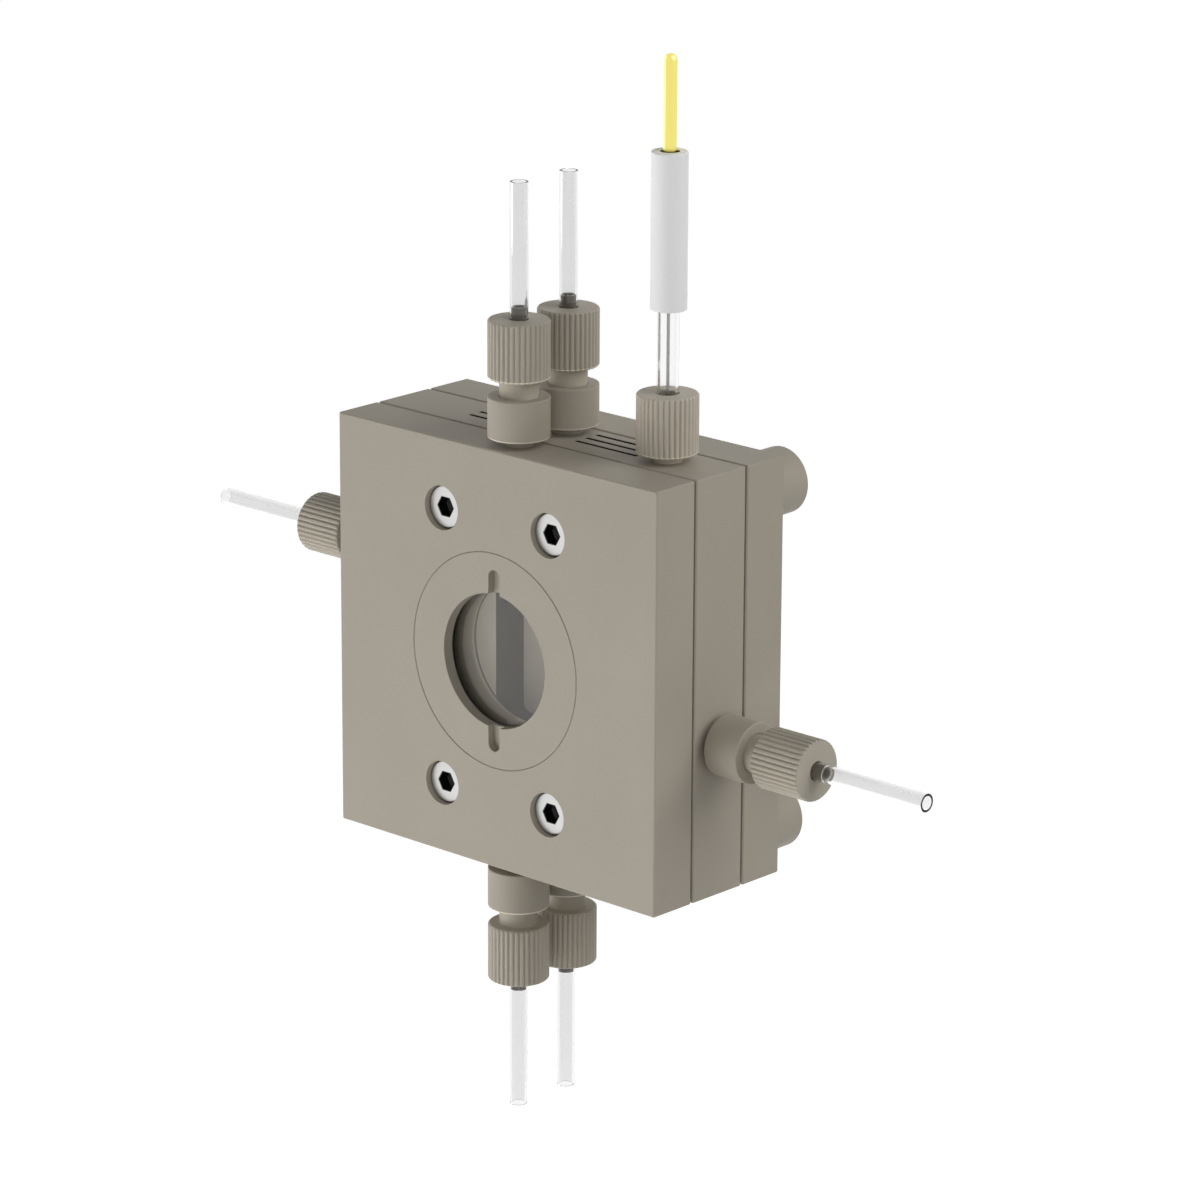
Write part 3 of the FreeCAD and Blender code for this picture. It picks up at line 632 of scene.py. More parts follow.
# Knurled finishes get painted shade in their rib grooves.
RIBS = {"turned": True, "groove_shade": 0.08}
FINISHES = {
    "milled": FilledPlastic(Slot.BODY, "milled_beige_plastic", BEIGE,
                            shade_boxes=(CHAMBER_SHADE, POCKET_SHADE, SLOT_SHADE)),
    # Collars get a painted highlight on their marked rims.
    "turned": FilledPlastic(Slot.BODY, "turned_beige_plastic", BEIGE, turned=True, highlight_gain=0.9),
    # Knurled tones are the beige painted lighter to make up for shade on the ribs; the reference
    # nut's is lighter still, painted light standing in for light its neighbours block.
    "knurled": FilledPlastic(Slot.BODY, "knurled_beige_plastic", lit(177, 170, 156),
                             highlight_gain=0.9, **RIBS),
    "stem_nut": FilledPlastic(Slot.BODY, "paler_knurled_plastic", lit(194, 186, 171),
                              highlight_gain=0.6, **RIBS),
    "insert": FilledPlastic(Slot.INSERT, "insert_plastic", lit(108, 102, 91), turned=True),
    "white": FilledPlastic(Slot.WHITE, "white_sleeve_plastic", lit(243, 243, 243),
                           0.42, 0.03, 0.03, turned=True, shade_boxes=(MOUTH_SHADE,)),
    "steel": TurnedMetal(Slot.STEEL, "bright_screw_steel", (0.66, 0.66, 0.65), 0.3,
                         socket_shade=0.9),
    "silver": TurnedMetal(Slot.SILVER, "grey_silver_wire", (0.36, 0.35, 0.34), 0.4),
    "gold": TurnedMetal(Slot.GOLD, "gold_plating", (0.88, 0.78, 0.21), 0.16),
    "tube": ClearWall(Slot.TUBE, "clear_tube_wall", (0.83, 0.83, 0.83), 1.36),
    "window": ClearWall(Slot.WINDOW, "quartz_window", (0.985, 0.99, 0.985), 1.46),
    "electrode_glass": ClearWall(Slot.ELECTRODE_GLASS, "reference_glass", (0.95, 0.955, 0.95),
                                 1.47, ripple=0.001),
    "seal": SoftSheet(Slot.GASKET, "pale_seal_rubber", lit(128, 122, 111), 0.6, 0.1, 0.1, 0.004),
    "gasket": SoftSheet(Slot.GASKET, "dark_seal_rubber", lit(62, 55, 47), 0.6, 0.2, 0.15, 0.01),
    "electrode": SoftSheet(Slot.ELECTRODE, "coated_electrode", lit(232, 223, 208),
                           0.45, 0.2, 0.2, 0.006),
    "membrane": SoftSheet(Slot.MEMBRANE, "ion_membrane", lit(190, 178, 150), 0.5, 0.1, 0.1, 0.004),
    "frit": SoftSheet(Slot.FRIT, "porous_frit", lit(225, 222, 214), 0.75, 0.1, 0.3, 0.02),
}


class FinishRack(Dict[str, Dressing]):
    """Dressing of every finish of the cell by name."""

    def __init__(self) -> None:
        """Make the shared effects and every material."""
        effects = SharedEffects()
        for key, spec in FINISHES.items():
            self[key] = Dressing(spec.material(effects), spec.slot)


# Turned forms


@dataclass(frozen=True)
class Corner:
    """Corner of a turned profile, in millimetres.

    reach is the distance from the axis, height runs along it, and ease rounds the corner. ribbed
    rows follow the knurl, and six_sided rows follow a hexagon whose corners lie at reach.
    scuffed corners get a painted highlight where they are rounded.
    """

    reach: float
    height: float
    ease: float = 0.0
    ribbed: bool = False
    six_sided: bool = False
    scuffed: bool = False


Profile = List[Corner]


def wall(reach: float, start: float, end: float, start_ease: float = 0.0,
         end_ease: float = 0.0) -> Profile:
    """Both corners of a cylindrical wall."""
    return [Corner(reach, start, start_ease), Corner(reach, end, end_ease)]


@dataclass(frozen=True)
class KnurledHead:
    """Ribbed head of a nut that is turned by hand."""

    radius: float
    bottom: float
    top: float
    edge: float = 0.25
    rib_count: int = 36
    rib_depth: float = 0.27
    columns_per_rib: int = 6

    def nut(self, bore: float, thread: float, foot: float, scuffed: bool) -> Profile:
        """Bore, male thread and ribbed head of a nut.

        Args:
            bore: Radius of the hole at the thread's foot.
            thread: Radius of the thread.
            foot: Height at which the thread starts.
            scuffed: True for a painted highlight on the lower rim.

        Returns:
            The profile from the bore up to the head's upper edge.
        """
        rim, edge = self.radius, self.edge
        return [
            Corner(bore, foot),
            *wall(thread, foot, self.bottom, 0.2, 0.08),
            Corner(rim - edge, self.bottom, 0.05, ribbed=True, scuffed=scuffed),
            Corner(rim, self.bottom + edge, 0.08, ribbed=True, scuffed=scuffed),
            Corner(rim, self.top - edge, 0.08, ribbed=True),
            Corner(rim - edge, self.top, 0.05, ribbed=True),
            Corner(rim - 2 * edge, self.top),
        ]

    def inputs(self) -> Dict:
        """Inputs of the turned form that cut the ribs."""
        return {"Columns": self.rib_count * self.columns_per_rib, "Rib Count": self.rib_count,
                "Rib Radius": self.radius * MM, "Rib Depth": self.rib_depth * MM}


def eased(corners: Profile, closed: bool) -> Profile:
    """Profile with its corners rounded.

    Args:
        corners: The sharp profile.
        closed: True where the last corner joins the first one.

    Returns:
        The points of the profile; a closed one repeats its first point at the end.
    """
    points: Profile = []
    count = len(corners)
    steps, longest_share, lead = 4, 0.4, 1.25
    for place, corner in enumerate(corners):
        at_end = not closed and place in (0, count - 1)
        if corner.ease <= 0 or at_end:
            points.append(corner)
            continue
        here = Vector((corner.reach, corner.height))
        before, after = corners[place - 1], corners[(place + 1) % count]
        back = Vector((before.reach, before.height)) - here
        ahead = Vector((after.reach, after.height)) - here
        trim = min(corner.ease, longest_share * back.length, longest_share * ahead.length)
        back.normalize()
        ahead.normalize()
        start, end = here + back * trim, here + ahead * trim
        arc = [(here + back * trim * lead, False)]
        for step in range(steps + 1):
            t = step / steps
            arc.append((start * (1 - t) ** 2 + here * 2 * t * (1 - t) + end * t ** 2,
                        corner.scuffed))
        arc.append((here + ahead * trim * lead, False))
        points += [Corner(p.x, p.y, 0, corner.ribbed, corner.six_sided, mark) for p, mark in arc]
    if closed:
        points.append(points[0])
    return points


def turned_tree() -> NodeTree:
    """Geometry Nodes tree that turns a profile round an axis, with ribs or a hexagon in it.

    Returns:
        The tree.
    """
    g = NodeGroup("turned_form", "Geometry",
                  {"Geometry": "Geometry", "Columns": "Int", "Rib Count": "Int",
                   "Rib Radius": "Float", "Rib Depth": "Float", "Rib Land": "Float",
                   "Material": "Material"}, {"Geometry": "Geometry"})
    profile, columns = g.given["Geometry"], g.given["Columns"]
    size = g.add("GeometryNodeAttributeDomainSize", {"Geometry": profile}, component="MESH")
    rows = size.outputs["Point Count"]
    grid = g.add("GeometryNodeMeshGrid", {
        "Size X": 1.0, "Size Y": 1.0, "Vertices X": g.math("ADD", columns, 1),
        "Vertices Y": rows,
    })
    index = g.add("GeometryNodeInputIndex").outputs["Index"]
    column = g.math("FLOOR", g.math("DIVIDE", g.math("ADD", index, 0.5), rows))
    row = g.math("SUBTRACT", index, g.math("MULTIPLY", column, rows))
    angle = g.math("MULTIPLY", g.math("DIVIDE", column, columns), FULL_TURN)

    def sampled(value: NodeSocket, kind: str) -> NodeSocket:
        """Value of the profile at this row.

        Args:
            value: Field on the profile.
            kind: Its data type.

        Returns:
            The value.
        """
        values = {"Geometry": profile, "Value": value, "Index": row}
        return g.add("GeometryNodeSampleIndex", values, data_type=kind,
                     domain="POINT").outputs["Value"]

    position = g.add("GeometryNodeInputPosition").outputs["Position"]
    split = g.axes(sampled(position, "FLOAT_VECTOR"))
    # The third value marks corners that get a painted rim highlight.
    ribbed, six_sided, scuffed = (
        sampled(g.add("GeometryNodeInputNamedAttribute", {"Name": name},
                      data_type="FLOAT").outputs["Attribute"], "FLOAT")
        for name in ("ribbed", "six_sided", "scuffed")
    )

    swing = g.math("COSINE", g.math("MULTIPLY", angle, g.given["Rib Count"]))
    even = g.math("MULTIPLY", g.math("SUBTRACT", 1.0, swing), 0.5)
    groove = g.math("POWER", even, g.given["Rib Land"])
    cut = g.math("SUBTRACT", g.given["Rib Radius"],
                 g.math("MULTIPLY", groove, g.given["Rib Depth"]))
    free = g.math("SUBTRACT", 1.0, ribbed)
    reach = g.math("MINIMUM", split["X"], g.math("ADD", cut, free))
    sixth = math.pi / 3
    within = g.math("SUBTRACT", g.math("MODULO", angle, sixth), sixth / 2)
    flat = g.math("DIVIDE", math.cos(sixth / 2), g.math("COSINE", within))
    narrowing = g.math("MULTIPLY", six_sided, g.math("SUBTRACT", flat, 1.0))
    reach = g.math("MULTIPLY", reach, g.math("ADD", narrowing, 1.0))

    point = g.add("ShaderNodeCombineXYZ", {
        "X": g.math("MULTIPLY", reach, g.math("COSINE", angle)),
        "Y": g.math("MULTIPLY", reach, g.math("SINE", angle)),
        "Z": split["Z"],
    })
    shape = grid.outputs["Mesh"]
    stored = {"turn_radius": split["X"], "turn_height": split["Z"],
              "groove": g.math("MULTIPLY", groove, ribbed), "socket": six_sided,
              "scuffed": scuffed}
    for name, value in stored.items():
        shape = g.add("GeometryNodeStoreNamedAttribute",
                      {"Geometry": shape, "Name": name, "Value": value},
                      data_type="FLOAT", domain="POINT").outputs["Geometry"]
    moved = g.add("GeometryNodeSetPosition",
                  {"Geometry": shape, "Position": point.outputs["Vector"]})
    merged = g.add("GeometryNodeMergeByDistance", {
        "Geometry": moved.outputs["Geometry"], "Distance": FORM_WELD,
    })
    return g.give_dressed(merged.outputs["Geometry"])


@dataclass(frozen=True)
class TurnedForm:
    """Turns pieces by one tree; a higher land makes the ribs wider than their grooves."""

    tree: NodeTree = field(default_factory=turned_tree)
    rib_land: float = 3.0

    def make(self, name: str, corners: Profile, finish: Dressing, placement: Matrix,
             closed: bool = True, columns: int = 96,
             head: Optional[KnurledHead] = None) -> Object:
        """Turn one piece.

        Args:
            name: Name of the piece.
            corners: Its profile, in millimetres, turned about +Z.
            finish: Its finish.
            placement: Where +Z and the origin of the profile go, in metres.
            closed: True for a ring profile, False for one that starts and ends on the axis.
            columns: Steps round the axis, where no head gives them.
            head: Knurled head whose ribs are cut.

        Returns:
            The finished object, at the origin.
        """
        rows = eased(corners, closed)
        mesh = bpy.data.meshes.new(name + "_profile")
        mesh.from_pydata([(p.reach * MM, 0, p.height * MM) for p in rows], [], [])
        for label in ("ribbed", "six_sided", "scuffed"):
            values = [float(getattr(p, label)) for p in rows]
            mesh.attributes.new(label, "FLOAT", "POINT").data.foreach_set("value", values)
        inputs = {"Columns": columns, "Rib Count": 0, "Rib Radius": MM, "Rib Depth": 0.0,
                  "Rib Land": self.rib_land, "Material": finish.material}
        if head:
            inputs.update(head.inputs())
        piece = grown(name, mesh, self.tree, inputs)
        piece.data.transform(placement)
        outward_faces(piece.data)
        return piece

    def stand_in(self, node: str, name: str, corners: Profile, finish: Dressing,
                 placement: Matrix, **options: object) -> None:
        """Turn one piece, with the options of make, and let it stand for a CAD node."""
        fit_to_node(self.make(name, corners, finish, placement, **options), node)


class ScrewSet:
    """Geometry Nodes tree that puts the same fastener at every marked point."""

    def __init__(self) -> None:
        """Build the tree."""
        g = NodeGroup("same_at_each_point", "Geometry",
                      {"Geometry": "Geometry", "Fastener": "Object", "Material": "Material"},
                      {"Geometry": "Geometry"})
        info = g.add("GeometryNodeObjectInfo", {"Object": g.given["Fastener"]},
                     transform_space="ORIGINAL")
        spread = g.add("GeometryNodeInstanceOnPoints", {
            "Points": g.given["Geometry"], "Instance": info.outputs["Geometry"],
        })
        self.tree = g.give_dressed(spread.outputs["Instances"])

    def make(self, name: str, fastener: Object, points: Sequence[Vector],
             finish: Dressing) -> Object:
        """Set of equal fasteners.

        Args:
            name: Name of the set.
            fastener: One fastener, placed about the origin. It is used up.
            points: Places in metres.
            finish: Finish of the set.

        Returns:
            One object with every fastener in it.
        """
        marks = bpy.data.meshes.new(name + "_points")
        marks.from_pydata([tuple(p) for p in points], [], [])
        inputs = {"Fastener": fastener, "Material": finish.material}
        piece = grown(name, marks, self.tree, inputs)
        bpy.data.objects.remove(fastener)
        outward_faces(piece.data)
        return piece


def grown(name: str, mesh: Mesh, tree: NodeTree, inputs: Dict[str, object]) -> Object:
    """Plain object grown from a mesh by a Geometry Nodes tree.

    Args:
        name: Name of the new object.
        mesh: Start mesh, used up.
        tree: The tree.
        inputs: Values by the names of the tree's inputs.

    Returns:
        An object with a plain mesh and no modifier.
    """
    work = linked(name + "_work", mesh)
    modifier = work.modifiers.new("grow", "NODES")
    modifier.node_group = tree
    for item in tree.interface.items_tree:
        if item.in_out == "INPUT" and item.name in inputs:
            modifier[item.identifier] = inputs[item.name]
    evaluated = work.evaluated_get(bpy.context.evaluated_depsgraph_get())
    result = bpy.data.meshes.new_from_object(evaluated)
    result.name = name
    bpy.data.objects.remove(work)
    bpy.data.meshes.remove(mesh)
    return linked(name, result)


def shade(mesh: Mesh, sharp: float) -> None:
    """Shade a mesh smooth up to an angle in degrees."""
    mesh.shade_smooth()
    mesh.set_sharp_from_angle(angle=math.radians(sharp))


def outward_faces(mesh: Mesh) -> None:
    """Turn the faces of a closed mesh outwards and shade it smooth.

    Args:
        mesh: The mesh, changed in place.
    """
    work = bmesh.new()
    work.from_mesh(mesh)
    bmesh.ops.recalc_face_normals(work, faces=work.faces)
    work.to_mesh(mesh)
    work.free()
    shade(mesh, SHARP_ON_TURNED)


def placed(x: float, y: float, z: float, outward: Outward) -> Matrix:
    """Matrix that takes the origin to a point in millimetres and +Z to a direction."""
    turn = Vector((0, 0, 1)).rotation_difference(Vector(outward.value)).to_matrix().to_4x4()
    return Matrix.Translation(Vector((x, y, z)) * MM) @ turn


def fit_to_node(piece: Object, node: str) -> None:
    """Let a finished piece stand for a CAD node.

    Args:
        piece: The finished piece.
        node: The CAD node.
    """
    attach(piece, frame["nodes"][node]["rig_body"])
    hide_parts(node)
    log.info("%s: %d faces", piece.name, len(piece.data.polygons))


def smooth_copy(node: str, finish: Dressing) -> None:
    """Stand for a CAD node with a copy that has merged points and smooth round walls.

    Args:
        node: The CAD node.
        finish: Its finish.
    """
    mesh = bpy.data.meshes.new(node + "_skin")
    work = bmesh.new()
    work.from_mesh(frame["nodes"][node].data)
    bmesh.ops.remove_doubles(work, verts=work.verts, dist=COPY_WELD)
    work.to_mesh(mesh)
    work.free()
    imported = mesh.attributes.get("custom_normal")
    if imported:
        mesh.attributes.remove(imported)
    shade(mesh, SHARP_ON_COPY)
    mesh.materials.clear()
    mesh.materials.append(finish.material)
    fit_to_node(linked(node + "_skin", mesh), node)


# Sub-assemblies of the cell


@dataclass
class SheetSet:
    """Pieces that keep the form of their CAD nodes, with the finish of each."""

    finishes: Dict[str, str]

    def build(self, rack: FinishRack) -> None:
        """Dress each piece."""
        for node, finish in self.finishes.items():
            smooth_copy(node, rack[finish])


@dataclass
class PlateStack(SheetSet):
    """Three clamped plates and the two seals between them."""

    finishes: Dict[str, str] = field(default_factory=lambda: {
        "front_plate": "milled", "middle_plate": "milled", "rear_plate": "milled",
        "front_gasket": "seal", "rear_gasket": "gasket",
    })


@dataclass
class ElectrodeStack(SheetSet):
    """Sheets between the flow pocket and the rear plate."""

    finishes: Dict[str, str] = field(default_factory=lambda: {
        "electrode_gasket": "seal", "working_electrode": "electrode", "membrane": "membrane",
        "spacer_frame": "gasket", "counter_electrode": "electrode", "pressure_pad": "gasket",
    })


@dataclass
class LightWindow:
    """Threaded ring, washer, glass and seal in the front plate."""

    glass_radius: float = 14.0
    glass_front: float = 2.2
    glass_back: float = 4.2
    glass_ease: float = 0.15

    def build(self, rack: FinishRack, form: TurnedForm) -> None:
        """Dress the ring and turn the glass.

        Args:
            rack: Dressing of every finish.
            form: Turns the round pieces.
        """
        for node, finish in (("ring", "milled"), ("slip_washer", "white"), ("gasket", "gasket")):
            smooth_copy("window_" + node, rack[finish])
        front, back = -self.glass_front, -self.glass_back
        corners = [
            Corner(0, front),
            *wall(self.glass_radius, front, back, self.glass_ease, self.glass_ease),
            Corner(0, back),
        ]
        form.stand_in("window_glass", "quartz_disc", corners, rack["window"],
                      placed(0, 0, 0, Outward.FRONT), closed=False, columns=128)


@dataclass
class CapScrews:
    """Equal cap screws: sizes of one, and where the set goes."""

    node: str
    places: Sequence[Tuple[float, float]]
    head_face: float
    outward: Outward
    shank_radius: float
    shank_length: float
    head_radius: float
    head_height: float
    socket_flats: float
    socket_depth: float
    socket_point: float = 0.35
    socket_flare: float = 0.07
    head_ease: float = 0.2

    def corners(self) -> Profile:
        """Profile of one screw, its head's face at 0 and its tip below.

        Returns:
            The profile from the socket's point round to the tip.
        """
        across = self.socket_flats / math.sqrt(3)
        foot = -self.head_height
        tip = foot - self.shank_length
        return [
            *(Corner(*row, six_sided=True) for row in (
                (0, -self.socket_depth - self.socket_point),
                (across * 0.9, -self.socket_depth, 0.02),
                (across, -self.socket_depth + 0.05, 0.02),
                (across, -0.06, 0.03),
                (across + self.socket_flare, 0, 0.03),
            )),
            *wall(self.head_radius, 0, foot, self.head_ease, 0.1),
            *wall(self.shank_radius, foot, tip, 0.15, 0.3),
            Corner(0, tip),
        ]

    def build(self, rack: FinishRack, form: TurnedForm, same: ScrewSet) -> None:
        """Make one screw and put it at each place.

        Args:
            rack: Dressing of every finish.
            form: Turns the round pieces.
            same: Puts the screw at each place.
        """
        one = form.make(self.node + "_one", self.corners(), rack["steel"],
                        placed(0, 0, 0, self.outward), closed=False)
        points = [Vector((x, self.head_face, z)) * MM for x, z in self.places]
        group = same.make(self.node + "_set", one, points, rack["steel"])
        fit_to_node(group, self.node)


@dataclass
class RearFoot:
    """Round foot with a counterbore for its screw."""

    node: str
    x: float
    z: float
    radius: float = 5.5
    length: float = 7.5
    ease: float = 0.45
    head_room: float = 3.0
    head_seat: float = 4.0
    shank_room: float = 1.7
    back: float = 30.0

    def build(self, rack: FinishRack, form: TurnedForm) -> None:
        """Turn the foot.

        Args:
            rack: Dressing of every finish.
            form: Turns the round pieces.
        """
        corners = [
            Corner(self.shank_room, 0),
            *wall(self.radius, 0, self.length, 0, self.ease),
            *wall(self.head_room, self.length, self.head_seat, 0.1),
            Corner(self.shank_room, self.head_seat),
        ]
        form.stand_in(self.node, self.node + "_turned", corners, rack["turned"],
                      placed(self.x, self.back, self.z, Outward.BACK))


@dataclass
class LiquidFitting:
    """One liquid fitting: adapter, knurled nut, ferrule, clear tube and its insert."""

    port: str
    x: float
    y: float
    z: float
    outward: Outward
    passage_radius: float = 0.75
    adapter_thread: float = 2.5
    adapter_thread_length: float = 6.0
    neck: float = 1.3
    adapter_radius: float = 5.05
    adapter_top: float = 8.0
    socket_radius: float = 3.225
    socket_floor: float = 2.6
    nut_thread: float = 3.175
    nut_thread_end: float = 4.8
    nut_bore: float = 1.55
    head: KnurledHead = KnurledHead(5.05, 10.95, 20.55)
    tube_radius: float = 1.5
    tube_bore: float = 1.1
    tube_end: float = 42.75
    insert_seat: float = 1.28
    insert_radius: float = 1.26
    insert_bore: float = 0.7
    insert_end: float = 22.55
    pressed: float = 0.02

    def adapter_corners(self) -> Profile:
        """Thread and neck, collar, and the socket for ferrule and nut.

        Returns:
            The closed profile.
        """
        foot = -self.adapter_thread_length
        upright, hanging = self.outward is Outward.UP, self.outward is Outward.DOWN
        return [
            Corner(self.passage_radius, foot),
            *wall(self.adapter_thread, foot, self.neck, 0.2, 0.1),
            # The rim that faces down gets a painted highlight.
            Corner(self.adapter_radius, self.neck, 0.22, scuffed=upright),
            Corner(self.adapter_radius, self.adapter_top, 0.22, scuffed=hanging),
            *wall(self.socket_radius, self.adapter_top, self.socket_floor, 0.12),
            Corner(self.passage_radius, self.socket_floor),
        ]

    def nut_corners(self) -> Profile:
        """Male thread below the knurled head, bored for the tube.

        Returns:
            The closed profile.
        """
        return [
            # Upright nuts get a painted highlight on their lower rim.
            *self.head.nut(self.nut_bore, self.nut_thread, self.nut_thread_end,
                           scuffed=self.outward is Outward.UP),
            Corner(self.nut_bore, self.head.top, 0.12),
        ]

    def tube_corners(self) -> Profile:
        """Tube that is widened inside as far as its insert goes.

        Returns:
            The closed profile.
        """
        seat_end = self.insert_end + self.pressed
        return [
            Corner(self.insert_seat, self.socket_floor),
            *wall(self.tube_radius, self.socket_floor, self.tube_end, 0, 0.04),
            *wall(self.tube_bore, self.tube_end, seat_end, 0.04, 0.05),
            Corner(self.insert_seat, seat_end),
        ]

    def insert_corners(self) -> Profile:
        """Stiff pipe inside the tube.

        Returns:
            The closed profile.
        """
        return [
            Corner(self.insert_bore, self.socket_floor),
            *wall(self.insert_radius, self.socket_floor, self.insert_end, 0, 0.06),
            Corner(self.insert_bore, self.insert_end, 0.06),
        ]

    def build(self, rack: FinishRack, form: TurnedForm) -> None:
        """Make every piece of the fitting.

        Args:
            rack: Dressing of every finish.
            form: Turns the round pieces.
        """
        there = placed(self.x, self.y, self.z, self.outward)
        for node, name, corners, finish, options in (
            ("adapter", "adapter_turned", self.adapter_corners(), "turned", {}),
            ("nut", "nut_knurled", self.nut_corners(), "knurled", {"head": self.head}),
            ("tube", "tube_drawn", self.tube_corners(), "tube", {}),
            ("tube_insert", "insert_turned", self.insert_corners(), "insert", {"columns": 48}),
        ):
            form.stand_in(f"{self.port}_{node}", f"{self.port}_{name}", corners, rack[finish],
                          there, **options)
        smooth_copy(self.port + "_ferrule", rack["white"])


@dataclass
class ReferenceElectrode:
    """Glass reference electrode with its knurled nut, white sleeve and gold pin."""

    x: float = 23.5
    y: float = 15.0
    head: KnurledHead = KnurledHead(5.0, 1.3, 11.0)
    thread_radius: float = 2.5
    thread_length: float = 4.99
    stem_hole: float = 1.35
    body_hole: float = 1.825
    shoulder: float = 2.5
    stem_radius: float = 1.3
    stem_bore: float = 0.95
    stem_reach: float = 15.0
    glass_radius: float = 1.775
    glass_bore: float = 1.325
    glass_top: float = 31.0
    bore_shoulder: float = 2.95
    sleeve_radius: float = 2.95
    sleeve_bottom: float = 24.5
    sleeve_top: float = 49.75
    glass_socket: float = 1.815
    pin_socket: float = 0.89
    mouth_radius: float = 1.6
    mouth_depth: float = 5.0
    pin_radius: float = 1.06
    pin_tail: float = 0.85
    pin_foot: float = 33.0
    pin_top: float = 65.1
    wire_radius: float = 0.25
    wire_foot: float = -13.0

    def nut_corners(self) -> Profile:
        """Thread and knurled head, bored in two steps for the glass.

        Returns:
            The closed profile.
        """
        return [
            # The lower rim gets a painted highlight.
            *self.head.nut(self.stem_hole, self.thread_radius, -self.thread_length, scuffed=True),
            *wall(self.body_hole, self.head.top, self.shoulder, 0.1),
            Corner(self.stem_hole, self.shoulder),
        ]

    def glass_corners(self) -> Profile:
        """Wide body that narrows to a stem.

        Returns:
            The closed profile.
        """
        return [
            Corner(self.stem_bore, -self.stem_reach),
            *wall(self.stem_radius, -self.stem_reach, self.shoulder, 0.05, 0.15),
            *wall(self.glass_radius, self.shoulder, self.glass_top, 0.3, 0.05),
            *wall(self.glass_bore, self.glass_top, self.bore_shoulder, 0.05, 0.2),
            Corner(self.stem_bore, self.bore_shoulder, 0.1),
        ]

    def sleeve_corners(self) -> Profile:
        """White sleeve with a rounded rim and a mouth round the pin.

        Returns:
            The closed profile.
        """
        mouth_floor = self.sleeve_top - self.mouth_depth
        return [
            Corner(self.glass_socket, self.sleeve_bottom, 0.08),
            *wall(self.sleeve_radius, self.sleeve_bottom, self.sleeve_top, 0.15, 0.3),
            *wall(self.mouth_radius, self.sleeve_top, mouth_floor, 0.15),
            *wall(self.pin_socket, mouth_floor, self.glass_top),
            Corner(self.glass_socket, self.glass_top),
        ]

    def pin_corners(self) -> Profile:
        """Pin with a half-round top and a narrower tail in the sleeve.

        Returns:
            The profile, which starts and ends on the axis.
        """
        r, steps = self.pin_radius, 12
        centre = self.pin_top - r
        dome = [Corner(r * math.cos(a), centre + r * math.sin(a))
                for a in (math.pi / 2 * step / steps for step in range(steps + 1))]
        tail = [
            Corner(0, self.pin_foot),
            *wall(self.pin_tail, self.pin_foot, self.sleeve_top, 0.05),
            Corner(r, self.sleeve_top, 0.06),
        ]
        return [*tail, *dome]

    def wire_corners(self) -> Profile:
        """Plain wire from inside the stem up to the pin.

        Returns:
            The profile, which starts and ends on the axis.
        """
        return [
            Corner(0, self.wire_foot),
            *wall(self.wire_radius, self.wire_foot, self.pin_foot, 0.05, 0.05),
            Corner(0, self.pin_foot),
        ]

    def build(self, rack: FinishRack, form: TurnedForm) -> None:
        """Make every piece of the electrode.

        Args:
            rack: Dressing of every finish.
            form: Turns the round pieces.
        """
        there = placed(self.x, self.y, HALF_BLOCK, Outward.UP)
        for node, how, corners, finish, options in (
            ("reference_nut", "knurled", self.nut_corners(), "stem_nut", {"head": self.head}),
            ("reference_glass", "drawn", self.glass_corners(), "electrode_glass", {}),
            ("reference_sleeve", "turned", self.sleeve_corners(), "white", {}),
            ("contact_pin", "turned", self.pin_corners(), "gold",
             {"closed": False, "columns": 64}),
            ("silver_wire", "drawn", self.wire_corners(), "silver",
             {"closed": False, "columns": 32}),
        ):
            form.stand_in(node, f"{node}_{how}", corners, rack[finish], there, **options)
        smooth_copy("reference_seal", rack["gasket"])
        smooth_copy("reference_frit", rack["frit"])


# Studio


def towards(azimuth: float, elevation: float) -> Vector:
    """Direction from the cell to a place at two angles in degrees."""
    a, e = math.radians(azimuth), math.radians(elevation)
    return Vector((math.sin(a) * math.cos(e), -math.cos(a) * math.cos(e), math.sin(e)))


@dataclass(frozen=True)
class Softbox:
    """Square lamp that faces the cell; level is the light on a surface that faces it.

    A lamp that isn't mirrored keeps its square out of the glass and the bright metal.
    """

    name: str
    azimuth: float
    elevation: float
    distance: float
    size: float
    level: float
    mirrored: bool = True

    def build(self, target: Vector) -> None:
        """Hang the lamp.

        Args:
            target: Point that the lamp faces, in metres.
        """
        away = towards(self.azimuth, self.elevation)
        lamp = bpy.data.lights.new(self.name, "AREA")
        lamp.size = self.size
        lamp.energy = self.level * math.pi ** 2 * self.distance ** 2
        holder = linked(self.name, lamp)
        holder.location = target + away * self.distance
        holder.rotation_mode = "QUATERNION"
        holder.rotation_quaternion = (-away).to_track_quat("-Z", "Y")
        holder.visible_camera = False
        holder.visible_glossy = self.mirrored
        holder.visible_transmission = self.mirrored


